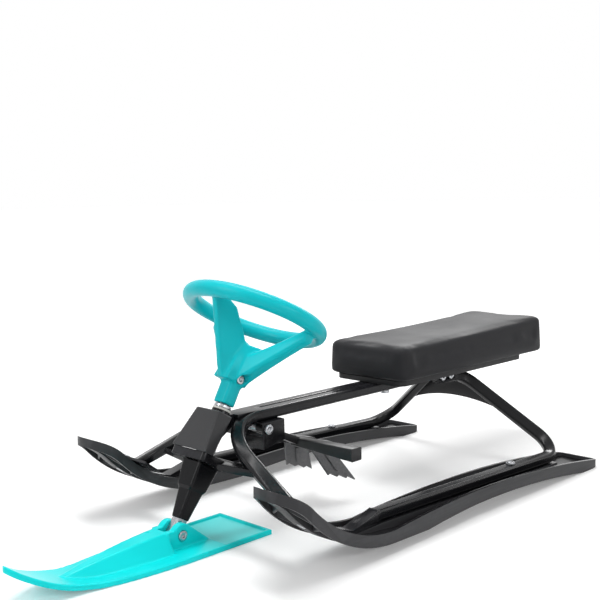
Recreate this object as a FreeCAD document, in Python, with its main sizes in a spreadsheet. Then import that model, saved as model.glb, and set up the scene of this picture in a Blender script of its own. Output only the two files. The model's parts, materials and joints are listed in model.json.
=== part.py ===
import FreeCAD, Part
import math
import os
import Sketcher

# Steering sled with three skis, a double-tube spine, a raked steering column and two foot brakes.
# Millimetres and degrees. +X points forward, +Y to the rider's left, +Z up.
# The origin lies on the ground under the middle of the whole sled.

V = FreeCAD.Vector
doc = FreeCAD.newDocument("SteeringSled")
sheet = doc.addObject("Spreadsheet::Sheet", "Sizes")

SIZES = {
    # frame tubes and spine
    "tube_wide": 21, "tube_tall": 17, "tube_corner": 5, "tube_wall": 1.8,
    "spine_top": 180, "spine_rear_x": -400, "front_corner_x": 219, "front_bend": 88,
    "leg_ahead": -1.6, "leg_below": 16.5, "leg_stop": 6, "leg_trim": 14,
    "rear_corner_x": -428, "rear_bend": 40, "rear_top_x": -359, "stub_front_x": -281, "stub_drop": 14.5,
    "stub_plug_x": -330, "joint_spot": 1.5,
    "block_rear_x": 126, "block_front_x": 183.5,
    "arch_thick": 3, "arch_high": 96, "arch_foot": 62, "arch_head": 134, "arch_inset": 3,
    "brace_front_x": 246, "brace_rear_x": 222, "brace_tip_x": 233, "brace_low": 112, "brace_thick": 10,
    "brace_flat": 40, "brace_reach": 108,
    "flange_back": 16, "flange_front": 33, "flange_half": 36, "flange_round": 6,
    # rear skis
    "ski_spread": 205, "ski_tail_x": -490, "ski_heel_x": -470, "ski_flat_rear_x": 20, "ski_flat_front_x": 100,
    "ski_pitch": 1.6, "ski_heel_long": 35, "ski_nose_x": 316, "ski_nose_radius": 250,
    "nose_turn": 45, "tip_radius": 100,
    "ski_shovel": 90, "ski_waist": 74, "ski_tail": 82,
    "ski_tail_round": 14, "ski_camber": 13, "ski_wall": 5, "ski_deck": 13, "ski_floor": 6,
    "ski_pad": 22, "ski_pad_wide": 30,
    "ski_rim_front": 18, "ski_rim_tip": 14, "ski_rim_mid": 33, "ski_rim_tail": 14, "ski_tail_lift": 3,
    "nose_recess": 8, "nose_keel": 20, "nose_rib": 3, "nose_rib_drop": 2,
    "nose_pocket_start": 9, "nose_pocket_end": 20,
    "strap_thick": 4, "strap_taper": 13, "strap_end": 40.5, "foot_angle": 35.9, "foot_spread": 4.1,
    "foot_inside": 72, "foot_outside": 14,
    # fasteners
    "bolt_wide": 8, "bolt_head": 15, "bolt_head_tall": 5, "bolt_slack": 0.1, "nut_tall": 6.5, "nut_wide": 13,
    "socket_wide": 6,
    "run_bolt_x": -259, "seat_bolt_front_x": -165, "seat_bolt_rear_x": -365, "seat_bolt_depth": 6,
    "joint_bolt_front_x": -293, "joint_bolt_rear_x": -317, "screw_wide": 5, "screw_head": 10,
    "screw_head_tall": 3,
    # seat
    "board_front_x": -130, "board_rear_x": -508, "board_wide": 150, "board_thick": 9, "board_round": 18,
    "seat_front_x": -127, "seat_rear_x": -562.2, "seat_wide": 163, "seat_tall": 74, "seat_round": 24,
    "seat_pull": 2.5, "seat_tuck": 4, "seat_edge": 6.5, "seat_crown_radius": 3300, "seat_gap": 0.3,
    # steering column, along the raked axis from its foot
    "steer_foot_x": 293.5, "steer_foot_z": 30, "steer_rake": 30, "pivot_x": 297, "pivot_z": 25,
    "head_low": 103, "head_high": 182, "head_wide": 28, "head_bore": 21, "bush_flange": 3, "bush_long": 22,
    "shaft_wide": 16, "shaft_low": 14, "shaft_high": 262, "run_slack": 0.08, "fit_slack": 0.04,
    "collar_tall": 5, "collar_wide": 26, "gusset_wide": 12, "gusset_low_z": 128, "gusset_nose_x": 240,
    "tongue_wide": 15, "tongue_round": 10, "tongue_neck": 7,
    "cone_low": 15, "cone_step_low": 57, "cone_step_high": 62, "cone_low_wide": 20, "cone_mid_wide": 28,
    "cone_high": 99, "cone_step_wide": 33,
    "cone_high_wide": 41, "cone_round": 4,
    # front cover, in the frame of the raked axis
    "cover_low": 112, "cover_high": 176, "cover_front_high": 26, "cover_front_low": 35, "cover_back_high": -4,
    "cover_back_low": 16, "cover_half_high": 25, "cover_half_low": 37, "cover_wall": 2.5, "cover_rib": 6,
    # steering wheel, in the frame of the raked axis
    "wheel_plane": 335, "wheel_half_wide": 112, "wheel_half_long": 96, "wheel_side_radius": 80,
    "wheel_ahead": 7, "rim_wide": 25, "neck_low": 192, "neck_high": 226, "neck_wide": 26, "neck_round": 6,
    "hub_high": 286, "hub_front": 27, "hub_back": 17, "hub_half": 15, "hub_high_half": 37,
    "hub_wing_back": 4, "hub_nose_half": 10, "hub_nose_front": 20,
    "fin_edge_thick": 10, "fin_flare_thick": 30, "fin_waist_x": 29, "fin_waist_at": 305,
    "fin_foot_x": 15, "fin_foot_at": 290,
    "fin_thick": 18, "fin_back": 20, "fin_root_tall": 46, "fin_mid_tall": 30, "fin_tip_tall": 24, "fin_rise": 14,
    "fin_tip_drop": 12, "wheel_bolt_at": 234,
    # front ski
    "glide_rear_x": 159.5, "glide_bend_x": 430, "glide_tip_x": 564.5, "glide_radius": 228, "glide_wide": 118,
    "glide_thick": 8, "glide_floor": 4, "glide_rim": 6,
    "glide_taper_x": 300, "glide_flank_x": 470, "glide_flank": 40, "glide_cheek_x": 542, "glide_cheek": 20,
    "glide_taper_bow": 700, "glide_flank_bow": 150, "glide_nose_bow": 25,
    "pad_front_x": 246, "ridge_rear_x": 322, "ridge_mid_x": 390, "ridge_front_x": 486,
    "ridge_rear_z": 35, "ridge_mid_z": 30, "ridge_rear_half": 37, "ridge_mid_half": 32, "ridge_front_half": 8,
    "ridge_rear_top": 16, "ridge_mid_top": 12, "ridge_front_top": 4,
    "lobe_radius": 17.5, "lobe_inner": 8, "lobe_outer": 20, "lobe_recess": 4,
    "lobe_tail_x": 248, "slot_rear_x": 262, "slot_floor": 9,
    # foot brakes
    "bracket_rear_x": 103, "bracket_front_x": 148, "bracket_half": 32.5, "bracket_skin": 2.5,
    "bracket_front_low": 122, "bracket_rear_low": 130, "bracket_front_high": 141,
    "brake_x": 139, "brake_z": 152.5, "hub_radius": 6.5, "hub_inner": 12, "hub_outer": 27, "side_play": 0.4,
    "spring_radius": 6.4, "spring_wire": 1.6,
    "peg_x": 62, "peg_z": 117, "peg_root_long": 16, "peg_root_tall": 13, "peg_tip_long": 23, "peg_tip_tall": 20,
    "peg_reach": 143, "arm_tall": 13, "tail_long": 75, "tail_fall": 15.5, "claw_start": 20, "claw_long": 99,
    "claw_deep": 47, "claw_lean": 26, "claw_thick": 3, "claw_rib": 7, "claw_rib_out": 2, "claw_band": 11,
    "claw_lap": 2, "rivet_front": 31, "rivet_rear": 63,
    # one overrun for every cut
    "overrun": 5,
}


class Size:
    """A length, angle or count from the sheet, with the expression that gives it."""

    def __init__(self, value, text):
        self.value = value
        self.text = text

    def combine(self, sign, other, value, swap=False):
        left, right = (plain(other), self.text) if swap else (self.text, plain(other))
        return Size(value, "(%s %s %s)" % (left, sign, right))

    def __add__(self, other):
        return self.combine("+", other, self.value + number(other))

    def __sub__(self, other):
        return self.combine("-", other, self.value - number(other))

    def __mul__(self, other):
        return self.combine("*", other, self.value * number(other))

    def __truediv__(self, other):
        return self.combine("/", other, self.value / number(other))

    def __radd__(self, other):
        return self.combine("+", other, number(other) + self.value, swap=True)

    def __rsub__(self, other):
        return self.combine("-", other, number(other) - self.value, swap=True)

    def __rmul__(self, other):
        return self.combine("*", other, number(other) * self.value, swap=True)

    def __neg__(self):
        return Size(-self.value, "(0 - %s)" % self.text)


def number(size):
    return size.value if isinstance(size, Size) else size


def plain(size):
    return size.text if isinstance(size, Size) else repr(size)


def sine(angle):
    return Size(math.sin(math.radians(angle.value)), "sin(%s * 1deg)" % angle.text)


def cosine(angle):
    return Size(math.cos(math.radians(angle.value)), "cos(%s * 1deg)" % angle.text)


def tangent(angle):
    return Size(math.tan(math.radians(angle.value)), "tan(%s * 1deg)" % angle.text)


def root(size):
    return Size(math.sqrt(size.value), "sqrt(%s)" % size.text)


class Sheet:
    """Gives each cell of the sheet as a Size, by its alias."""

    def __init__(self, table):
        for row, (alias, value) in enumerate(table.items(), start=1):
            sheet.set("A%d" % row, alias)
            sheet.set("B%d" % row, str(value))
            sheet.setAlias("B%d" % row, alias)
            setattr(self, alias, Size(float(value), "Sizes." + alias))


S = Sheet(SIZES)

# Shares of other sizes
FIN_ROOT_SHARE = 1.5
FIN_MID_SHARE = 1.2
LOBE_FRONT_SHARE = 0.9
LOBE_BACK_SHARE = 0.6
LOBE_DROP_SHARE = 0.2
ARM_SHARE = 0.8
CLAW_SHARES = ((0.0, 0.0), (0.343, 0.926), (0.384, 0.85), (0.563, 0.951), (0.603, 0.872), (0.781, 0.974),
               (0.821, 0.894), (1.0, 1.0), (0.556, 0.0))
RIB_SHARES = ((0.30, 0.16), (0.52, 0.74), (0.58, 0.74), (0.38, 0.16))
doc.recompute()
ZERO = Size(0.0, "0")

PLANES = {
    "XY": FreeCAD.Rotation(V(0, 0, 1), 0),
    "XZ": FreeCAD.Rotation(V(1, 0, 0), 90),
    "YZ": FreeCAD.Rotation(V(1, 1, 1), 120),
}
NORMALS = {"XY": V(0, 0, 1), "XZ": V(0, 1, 0), "YZ": V(1, 0, 0)}
AXIS_NAMES = {"XY": "z", "XZ": "y", "YZ": "x"}


def bind(thing, **sizes):
    """Tie properties of an object to the sheet."""
    for name, size in sizes.items():
        thing.setExpression(name, plain(size))


def move(thing, x=ZERO, y=ZERO, z=ZERO):
    """Tie an object's place to the sheet."""
    for name, size in (("x", x), ("y", y), ("z", z)):
        thing.setExpression("Placement.Base." + name, plain(size))
    return thing


def named(thing, label):
    thing.Label = label
    return thing


def point(pair):
    return V(number(pair[0]), number(pair[1]), 0)


def arc_between(start, end, radius, side):
    """The shorter arc of a radius from start to end; side 1 bulges to the right of the way, -1 to the left."""
    chord = end - start
    across = V(chord.y, -chord.x, 0).normalize()
    reach = math.sqrt(max(radius ** 2 - (chord.Length / 2) ** 2, 0))
    centre = (start + end) / 2 - across * reach * side
    middle = centre + across * radius * side
    return Part.Arc(start, middle, end) if side > 0 else Part.Arc(end, middle, start)


def held(row, end, corner):
    """Rules that hold one end of a piece of a sketch at a place from the sheet."""
    return [(Sketcher.Constraint(kind, -1, 1, row, end, number(size)), size)
            for kind, size in (("DistanceX", corner[0]), ("DistanceY", corner[1]))]


def tie(sketch, rules):
    """Give a sketch all its rules at once, then tie their sizes to the sheet."""
    sketch.addConstraint([rule for rule, _ in rules])
    for row, (_, size) in enumerate(rules):
        if size is not None:
            sketch.setExpression("Constraints[%d]" % row, plain(size))


def outline(name, corners, arcs=None, rotation=None):
    """A closed sketch through the corners, each tied to the sheet; some sides are arcs of a given radius."""
    arcs = arcs or {}
    sketch = doc.addObject("Sketcher::SketchObject", name)
    places = [point(corner) for corner in corners]
    count = len(corners)
    for side in range(count):
        start, end = places[side], places[(side + 1) % count]
        if side in arcs:
            radius, bulge = arcs[side]
            sketch.addGeometry(arc_between(start, end, number(radius), bulge), False)
        else:
            sketch.addGeometry(Part.LineSegment(start, end), False)

    def end_of(side, place):
        geometry = sketch.Geometry[side]
        nearer = (geometry.StartPoint - place).Length < (geometry.EndPoint - place).Length
        return 1 if nearer else 2

    rules = []
    for side, (corner, place) in enumerate(zip(corners, places)):
        before = (side - 1) % count
        here = end_of(side, place)
        rules.append((Sketcher.Constraint("Coincident", before, end_of(before, place), side, here), None))
        rules += held(side, here, corner)
        if side in arcs:
            radius = arcs[side][0]
            rules.append((Sketcher.Constraint("Radius", side, number(radius)), radius))
    tie(sketch, rules)
    if rotation:
        sketch.Placement = FreeCAD.Placement(V(0, 0, 0), rotation)
    return sketch


def prism(name, plane, corners, low, high, arcs=None):
    """An outline of a main plane, drawn out along that plane's normal from low to high."""
    sketch = outline(name + "_outline", corners, arcs, PLANES[plane])
    solid = doc.addObject("Part::Extrusion", name)
    solid.Base = sketch
    solid.DirMode = "Custom"
    solid.Dir = NORMALS[plane]
    solid.Solid = True
    bind(solid, LengthFwd=high - low)
    return move(solid, **{AXIS_NAMES[plane]: low})


def rounded(half_x, half_y, corner, centre=(ZERO, ZERO)):
    """Corners and arcs of a rectangle with round corners."""
    x, y = centre
    inner_x, inner_y = half_x - corner, half_y - corner
    corners = [(x - inner_x, y - half_y), (x + inner_x, y - half_y), (x + half_x, y - inner_y),
               (x + half_x, y + inner_y), (x + inner_x, y + half_y), (x - inner_x, y + half_y),
               (x - half_x, y + inner_y), (x - half_x, y - inner_y)]
    return corners, {side: (corner, 1) for side in (1, 3, 5, 7)}


def box(name, low, high):
    """A block between two corners."""
    block = doc.addObject("Part::Box", name)
    bind(block, Length=high[0] - low[0], Width=high[1] - low[1], Height=high[2] - low[2])
    return move(block, *low)


def rod(name, radius, start, direction, length):
    """A round bar from a start point along a unit vector."""
    bar = doc.addObject("Part::Cylinder", name)
    bind(bar, Radius=radius, Height=length)
    bar.Placement = FreeCAD.Placement(V(0, 0, 0), FreeCAD.Rotation(V(0, 0, 1), direction))
    return move(bar, *start)


def fuse(name, *pieces):
    whole = doc.addObject("Part::MultiFuse", name)
    whole.Shapes = list(pieces)
    return whole


def common(name, *pieces):
    shared = doc.addObject("Part::MultiCommon", name)
    shared.Shapes = list(pieces)
    return shared


def cut(name, base, *tools):
    tool = tools[0] if len(tools) == 1 else fuse(name + "_tools", *tools)
    rest = doc.addObject("Part::Cut", name)
    rest.Base = base
    rest.Tool = tool
    return rest


def group(label, pieces):
    whole = doc.addObject("Part::Compound", label)
    whole.Links = list(pieces)
    return named(whole, label)


def mirrored(source, label):
    """The same piece on the rider's right."""
    copy = doc.addObject("Part::Mirroring", label)
    copy.Source = source
    copy.Normal = V(0, 1, 0)
    return named(copy, label)


def loft(name, sketches):
    body = doc.addObject("Part::Loft", name)
    body.Sections = sketches
    body.Solid = True
    body.Ruled = False
    return body


def hexagon(name, wide, place, direction, length):
    """A six-sided bar of a width across its flats, from a start point along a unit vector."""
    body = doc.addObject("Part::Prism", name)
    body.Polygon = 6
    bind(body, Circumradius=wide / 2 / cosine(Size(30.0, "30")), Height=length)
    body.Placement = FreeCAD.Placement(V(0, 0, 0), FreeCAD.Rotation(V(0, 0, 1), direction))
    return move(body, *place)


def rivet(name, place, direction, length, wide, head, head_tall):
    """A plain pin with a flat head that sits on a face at place and whose shank runs along direction."""
    shank = rod(name + "_shank", wide / 2, place, direction, length)
    cap = rod(name + "_cap", head / 2, place, direction * -1, head_tall)
    return fuse(name + "_whole", shank, cap)


def bolt(name, place, direction, length, wide, head, head_tall):
    """A bolt with a hexagon socket in its head."""
    deep = head_tall / 2
    floor = tuple(at - share * deep for at, share in zip(place, direction))
    socket = hexagon(name + "_socket", S.socket_wide * head / S.bolt_head, floor, direction * -1, head_tall)
    return cut(name, rivet(name + "_plain", place, direction, length, wide, head, head_tall), socket)


def nut(name, place, direction):
    """A hexagon lock nut whose bearing face sits at place, with room for the bolt in it."""
    body = hexagon(name + "_body", S.nut_wide, place, direction, S.nut_tall)
    bore = rod(name + "_bore", S.bolt_wide / 2 + S.bolt_slack, place, direction, S.nut_tall)
    return cut(name, body, bore)


def hole(name, place, direction, length, wide=None):
    """The drilled hole of a bolt."""
    return rod(name, (wide or S.bolt_wide) / 2 + S.bolt_slack, place, direction, length)


UP, DOWN, LEFT, RIGHT = V(0, 0, 1), V(0, 0, -1), V(0, 1, 0), V(0, -1, 0)

# Frame tubes: each is bent in one sloping plane, with its section level along the sled.
SPINE_Y = S.tube_wide / 2
SPINE_Z = S.spine_top - S.tube_tall / 2
SPINE_LOW = S.spine_top - S.tube_tall
RUN_Z = S.ski_pad + S.tube_tall / 2
STUB_Y = SPINE_Y + S.tube_wide
STUB_Z = S.spine_top - S.stub_drop


def on_nose(depth, angle):
    """A point of the ski's nose, a depth inside its running face and an angle round its bend."""
    reach = S.ski_nose_radius - depth
    return (S.ski_flat_front_x + reach * sine(angle), S.ski_nose_radius - reach * cosine(angle))


def on_tip(depth, angle):
    """A point of the nose's tip, where the bend turns back, a depth inside its running face and at a slope."""
    middle = on_nose(-S.tip_radius, S.nose_turn)
    reach = S.tip_radius + depth
    return (middle[0] - reach * sine(angle), middle[1] + reach * cosine(angle))


# The rear skis and their tubes are drawn level, then pitched a little nose up about their heels
PITCH = FreeCAD.Rotation(V(0, 1, 0), -S.ski_pitch.value)
HEEL = V(S.ski_heel_x.value, 0, 0)


def pitched(piece, label):
    """A piece drawn on the level ski, pitched with it."""
    whole = doc.addObject("Part::Compound", label)
    whole.Links = [piece]
    whole.Placement = FreeCAD.Placement(HEEL - PITCH.multVec(HEEL), PITCH)
    return named(whole, label)


def lifted(place):
    """A place (x, z) on the level ski, once the ski is pitched."""
    along = place[0] - S.ski_heel_x
    x = S.ski_heel_x + along * cosine(S.ski_pitch) - place[1] * sine(S.ski_pitch)
    return x, along * sine(S.ski_pitch) + place[1] * cosine(S.ski_pitch)


# The front leg aims at a point a little below its foot on the ski's nose
FOOT_X, FOOT_Z = lifted(on_nose(S.ski_deck + S.strap_thick, S.foot_angle))
LEG_X = FOOT_X + S.leg_ahead
LEG_Z = FOOT_Z - S.leg_below
STUB_LEVEL_Z = STUB_Z * cosine(S.ski_pitch) - (S.rear_top_x - S.ski_heel_x) * sine(S.ski_pitch)


def bent_path(name, origin, tilt, corners, radii):
    """An open sketch of straight runs and tangent bends in a plane tilted about the sled's length."""
    sketch = doc.addObject("Sketcher::SketchObject", name)
    places = [point(corner) for corner in corners]
    last = len(corners) - 1
    starts, ends = [places[0]], []
    for index in range(1, last):
        back = (places[index - 1] - places[index]).normalize()
        ahead = (places[index + 1] - places[index]).normalize()
        half = back.getAngle(ahead) / 2
        length = number(radii[index - 1]) / math.tan(half)
        ends.append(places[index] + back * length)
        starts.append(places[index] + ahead * length)
    ends.append(places[last])
    rules = held(0, 1, corners[0])
    for index in range(last):
        line = sketch.addGeometry(Part.LineSegment(starts[index], ends[index]), False)
        if index == last - 1:
            break
        radius = radii[index]
        turn = (places[index + 1] - places[index]).cross(places[index + 2] - places[index + 1]).z
        bend = arc_between(ends[index], starts[index + 1], number(radius), 1 if turn > 0 else -1)
        row = sketch.addGeometry(bend, False)
        first = 1 if (sketch.Geometry[row].StartPoint - ends[index]).Length < S.fit_slack.value else 2
        rules.append((Sketcher.Constraint("Tangent", line, 2, row, first), None))
        rules.append((Sketcher.Constraint("Tangent", row, 3 - first, row + 1, 1), None))
        rules.append((Sketcher.Constraint("Radius", row, number(radius)), radius))
    rules += held(line, 2, corners[last])
    for index in range(1, last):
        mark = sketch.addGeometry(Part.Point(places[index]), True)
        rules += held(mark, 1, corners[index])
        for side in (index * 2 - 2, index * 2):
            rules.append((Sketcher.Constraint("PointOnObject", mark, 1, side), None))
    tie(sketch, rules)
    sketch.Placement = FreeCAD.Placement(V(0, 0, 0), FreeCAD.Rotation(V(1, 0, 0), tilt))
    move(sketch, ZERO, *origin)
    return sketch


def tube_along(name, path, start, inset):
    """A bar along a path, inset all round from the tube's outer face."""
    corners, arcs = rounded(S.tube_wide / 2 - inset, S.tube_tall / 2 - inset, S.tube_corner - inset)
    section = outline(name + "_section", corners, arcs, PLANES["YZ"])
    move(section, *start)
    bar = doc.addObject("Part::Sweep", name)
    bar.Sections = [section]
    doc.recompute()
    bar.Spine = (path, ["Edge%d" % (row + 1) for row in range(len(path.Shape.Edges))])
    bar.Solid = True
    bar.Frenet = False
    return bar


def front_tube():
    """Left tube of the spine: it runs under the seat, turns out at the head and ends on the ski's nose."""
    out = S.ski_spread - SPINE_Y
    fall = SPINE_Z - LEG_Z
    tilt = -math.degrees(math.atan2(fall.value, out.value))
    slope = root(out * out + fall * fall)
    stop = (slope - S.leg_stop) / slope
    corner = (S.front_corner_x, ZERO)
    end = (S.front_corner_x + (LEG_X - S.front_corner_x) * stop, slope - S.leg_stop)
    path = bent_path("front_path", (SPINE_Y, SPINE_Z), tilt,
                     [(S.spine_rear_x, ZERO), corner, end], [S.front_bend])
    start = (S.spine_rear_x, SPINE_Y, SPINE_Z)
    bar = tube_along("front_bar", path, start, ZERO)
    core = tube_along("front_core", path, start, S.tube_wall)
    low, high = S.foot_angle - S.foot_spread, S.foot_angle + S.foot_spread
    foot_low = S.ski_deck + S.strap_thick
    foot = nose_band("front_foot", foot_low, foot_low + S.strap_thick, low, high,
                     S.ski_spread - S.foot_inside, S.ski_spread + S.foot_outside)
    trim = nose_band("leg_trim", -S.ski_pad, foot_low, S.foot_angle - S.leg_trim, S.foot_angle + S.leg_trim,
                     S.ski_spread - S.foot_inside - S.tube_wide, S.ski_spread + S.foot_inside)
    pipe = cut("front_pipe", bar, core, pitched(trim, "leg_trim_pitched"))
    return bar, fuse("front_tube_whole", pipe, pitched(foot, "front_foot_pitched"))


def nose_band(name, depth_low, depth_high, start, end, low, high):
    """A strip that follows the ski's nose between two depths and two angles."""
    corners = [on_nose(depth_low, start), on_nose(depth_low, end), on_nose(depth_high, end),
               on_nose(depth_high, start)]
    arcs = {0: (S.ski_nose_radius - depth_low, 1), 2: (S.ski_nose_radius - depth_high, -1)}
    return prism(name, "XZ", corners, low, high, arcs)


def rear_tube():
    """Left rear tube: a flattened strap on the ski's nose, a run along the ski, a leg and a stub at the spine."""
    inward = S.ski_spread - STUB_Y
    rise = STUB_LEVEL_Z - RUN_Z
    tilt = 180 - math.degrees(math.atan2(rise.value, inward.value))
    slope = root(inward * inward + rise * rise)
    corners = [(S.ski_flat_front_x, ZERO), (S.rear_corner_x, ZERO), (S.rear_top_x, slope),
               (S.stub_front_x, slope)]
    path = bent_path("rear_path", (S.ski_spread, RUN_Z), tilt, corners, [S.rear_bend, S.rear_bend])
    start = (S.ski_flat_front_x, S.ski_spread, RUN_Z)
    bar = tube_along("rear_bar", path, start, ZERO)
    core = tube_along("rear_core", path, start, S.tube_wall)
    pipe = cut("rear_pipe", bar, core)
    back = S.ski_flat_front_x - S.overrun
    flat = S.ski_deck + S.strap_thick
    corners = [(back, S.ski_pad), (S.ski_flat_front_x, S.ski_pad), on_nose(S.ski_deck, S.strap_taper),
               on_nose(S.ski_deck, S.strap_end), on_nose(flat, S.strap_end), on_nose(flat, S.strap_taper),
               (back, S.ski_pad + S.tube_tall)]
    arcs = {2: (S.ski_nose_radius - S.ski_deck, 1), 4: (S.ski_nose_radius - flat, -1)}
    strap = prism("rear_strap", "XZ", corners, S.ski_spread - S.tube_wide / 2, S.ski_spread + S.tube_wide / 2, arcs)
    room = box("stub_room", (S.stub_plug_x, STUB_Y - S.tube_wide, STUB_LEVEL_Z - S.tube_wide),
               (S.stub_front_x, STUB_Y + S.tube_wide, STUB_LEVEL_Z + S.tube_wide))
    plug = common("stub_plug", bar, room)
    return bar, fuse("rear_tube_whole", pipe, strap, plug)


front_bar, front_whole = front_tube()
rear_bar, rear_whole = rear_tube()
front_bar_right = mirrored(front_bar, "front_bar_right")
rear_bar_right = mirrored(rear_bar, "rear_bar_right")

# Places of the frame's bolts
NOSE_DOWN = V(math.sin(math.radians(S.foot_angle.value)), 0, -math.cos(math.radians(S.foot_angle.value)))
FOOT_TOP = on_nose(S.ski_deck + S.strap_thick * 2 + S.bolt_slack, S.foot_angle)
FOOT_BOLT_LONG = S.ski_deck + S.strap_thick * 2 - S.bolt_slack
NUT_ROOM = S.nut_tall + S.bolt_slack
RUN_TOP = S.ski_pad + S.tube_tall
FOOT_OVER = on_nose(S.ski_deck + S.strap_thick * 2 + S.overrun, S.foot_angle)


def foot_hole(name, y):
    place = (FOOT_OVER[0], y, FOOT_OVER[1])
    return hole(name, place, NOSE_DOWN, S.ski_deck + S.strap_thick * 2 + S.overrun * 2)


def run_hole(name, y):
    return hole(name, (S.run_bolt_x, y, RUN_TOP + S.overrun), DOWN, RUN_TOP + S.overrun * 2)


def joint_holes(name):
    across = STUB_Y + S.tube_wide / 2 + S.overrun
    return [hole(name + "_%d" % index, (x, -across, SPINE_Z), LEFT, across * 2)
            for index, x in enumerate((S.joint_bolt_front_x, S.joint_bolt_rear_x))]


def seat_holes(name):
    return [hole(name + "_%d" % index, (x, SPINE_Y, SPINE_LOW - S.overrun), UP, S.tube_tall + S.overrun * 2)
            for index, x in enumerate((S.seat_bolt_front_x, S.seat_bolt_rear_x))]


JOINT_Y = STUB_Y + S.tube_tall / 2 - S.joint_spot


def joint_spots(name):
    return [rod(name + "_%d" % index, S.bolt_head / 2 + S.side_play * 2, (x, JOINT_Y, SPINE_Z), LEFT, S.tube_tall)
            for index, x in enumerate((S.joint_bolt_front_x, S.joint_bolt_rear_x))]


BRACKET_MID_X = (S.bracket_rear_x + S.bracket_front_x) / 2 - S.overrun
BRACKET_BOLT_Y = SPINE_Y


def bracket_hole(name, y):
    return hole(name, (BRACKET_MID_X, y, SPINE_LOW - S.overrun), UP, S.tube_wall * 2 + S.overrun, S.screw_wide)


left_front_tube = named(cut("left_front_tube", front_whole,
                            pitched(foot_hole("front_foot_hole", S.ski_spread), "front_foot_hole_pitched"),
                            bracket_hole("front_bracket_hole", BRACKET_BOLT_Y),
                            *joint_holes("front_joint_hole"), *seat_holes("front_seat_hole")), "left_front_tube")
right_front_tube = mirrored(left_front_tube, "right_front_tube")
level_rear_tube = cut("rear_tube_level", rear_whole, foot_hole("rear_foot_hole", S.ski_spread),
                      run_hole("rear_run_hole", S.ski_spread))
left_rear_tube = named(cut("left_rear_tube", pitched(level_rear_tube, "rear_tube_pitched"),
                           *joint_holes("rear_joint_hole"), *joint_spots("rear_joint_spot")), "left_rear_tube")
right_rear_tube = mirrored(left_rear_tube, "right_rear_tube")


def head_block():
    """The steel nose block between the tubes, level with their tops."""
    half = S.tube_wide - S.tube_corner
    block = box("head_block_blank", (S.block_rear_x, -half, SPINE_LOW), (S.block_front_x, half, S.spine_top))
    return cut("head_block", block, front_bar, front_bar_right)


def arch_plate():
    """The pressed panel between the two rear legs, with its arched lower edge."""
    run, rise = S.rear_top_x - S.rear_corner_x, STUB_LEVEL_Z - RUN_Z
    lean = math.degrees(math.atan2(run.value, rise.value))
    inward = (S.ski_spread - STUB_Y) / root(run * run + rise * rise)

    def leg(height):
        return S.ski_spread - inward * height - S.arch_inset

    foot, head = S.arch_foot, S.arch_head
    corners = [(-leg(foot), foot), (leg(foot), foot), (leg(head), head), (-leg(head), head)]
    sag = S.arch_high - foot
    bow = (leg(foot) * leg(foot) + sag * sag) / (sag * 2)
    sketch = outline("arch_outline", corners, {0: (bow, -1)}, PLANES["YZ"])
    panel = doc.addObject("Part::Extrusion", "arch_panel")
    panel.Base = sketch
    panel.DirMode = "Custom"
    panel.Dir = V(-1, 0, 0)
    panel.Solid = True
    bind(panel, LengthFwd=S.arch_thick)
    move(panel, S.arch_thick / 2)
    tilted = doc.addObject("Part::Compound", "arch_tilted")
    tilted.Links = [panel]
    tilted.Placement = FreeCAD.Placement(V(0, 0, 0), FreeCAD.Rotation(V(0, 1, 0), lean))
    move(tilted, S.rear_corner_x, ZERO, RUN_Z)
    return pitched(cut("arch_level", tilted, rear_bar, rear_bar_right), "rear_arch_plate")


named(head_block(), "head_block")
arch_plate()

# Rear skis: an upturned trough with a rim, a raised pad for the tube and a ribbed underside at the nose.


def ski_plan(name, inset, low, high):
    """The ski from above, drawn in by an inset, as an upright prism."""
    nose_round = S.ski_shovel / 2 - inset
    nose_x = S.ski_nose_x - S.ski_shovel / 2
    tail_x = S.ski_tail_x + inset
    tail = S.ski_tail / 2 - inset
    turn = S.ski_tail_round - inset
    waist = S.ski_waist / 2 - inset
    middle = (nose_x + tail_x) / 2
    corners = [(tail_x + turn, -tail), (middle, -waist), (nose_x, -nose_round), (S.ski_nose_x - inset, ZERO),
               (nose_x, nose_round), (middle, waist), (tail_x + turn, tail), (tail_x, tail - turn),
               (tail_x, turn - tail)]

    arcs = {2: (nose_round, 1), 3: (nose_round, 1), 6: (turn, 1), 8: (turn, 1)}
    return prism(name, "XY", corners, low, high, arcs)


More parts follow.
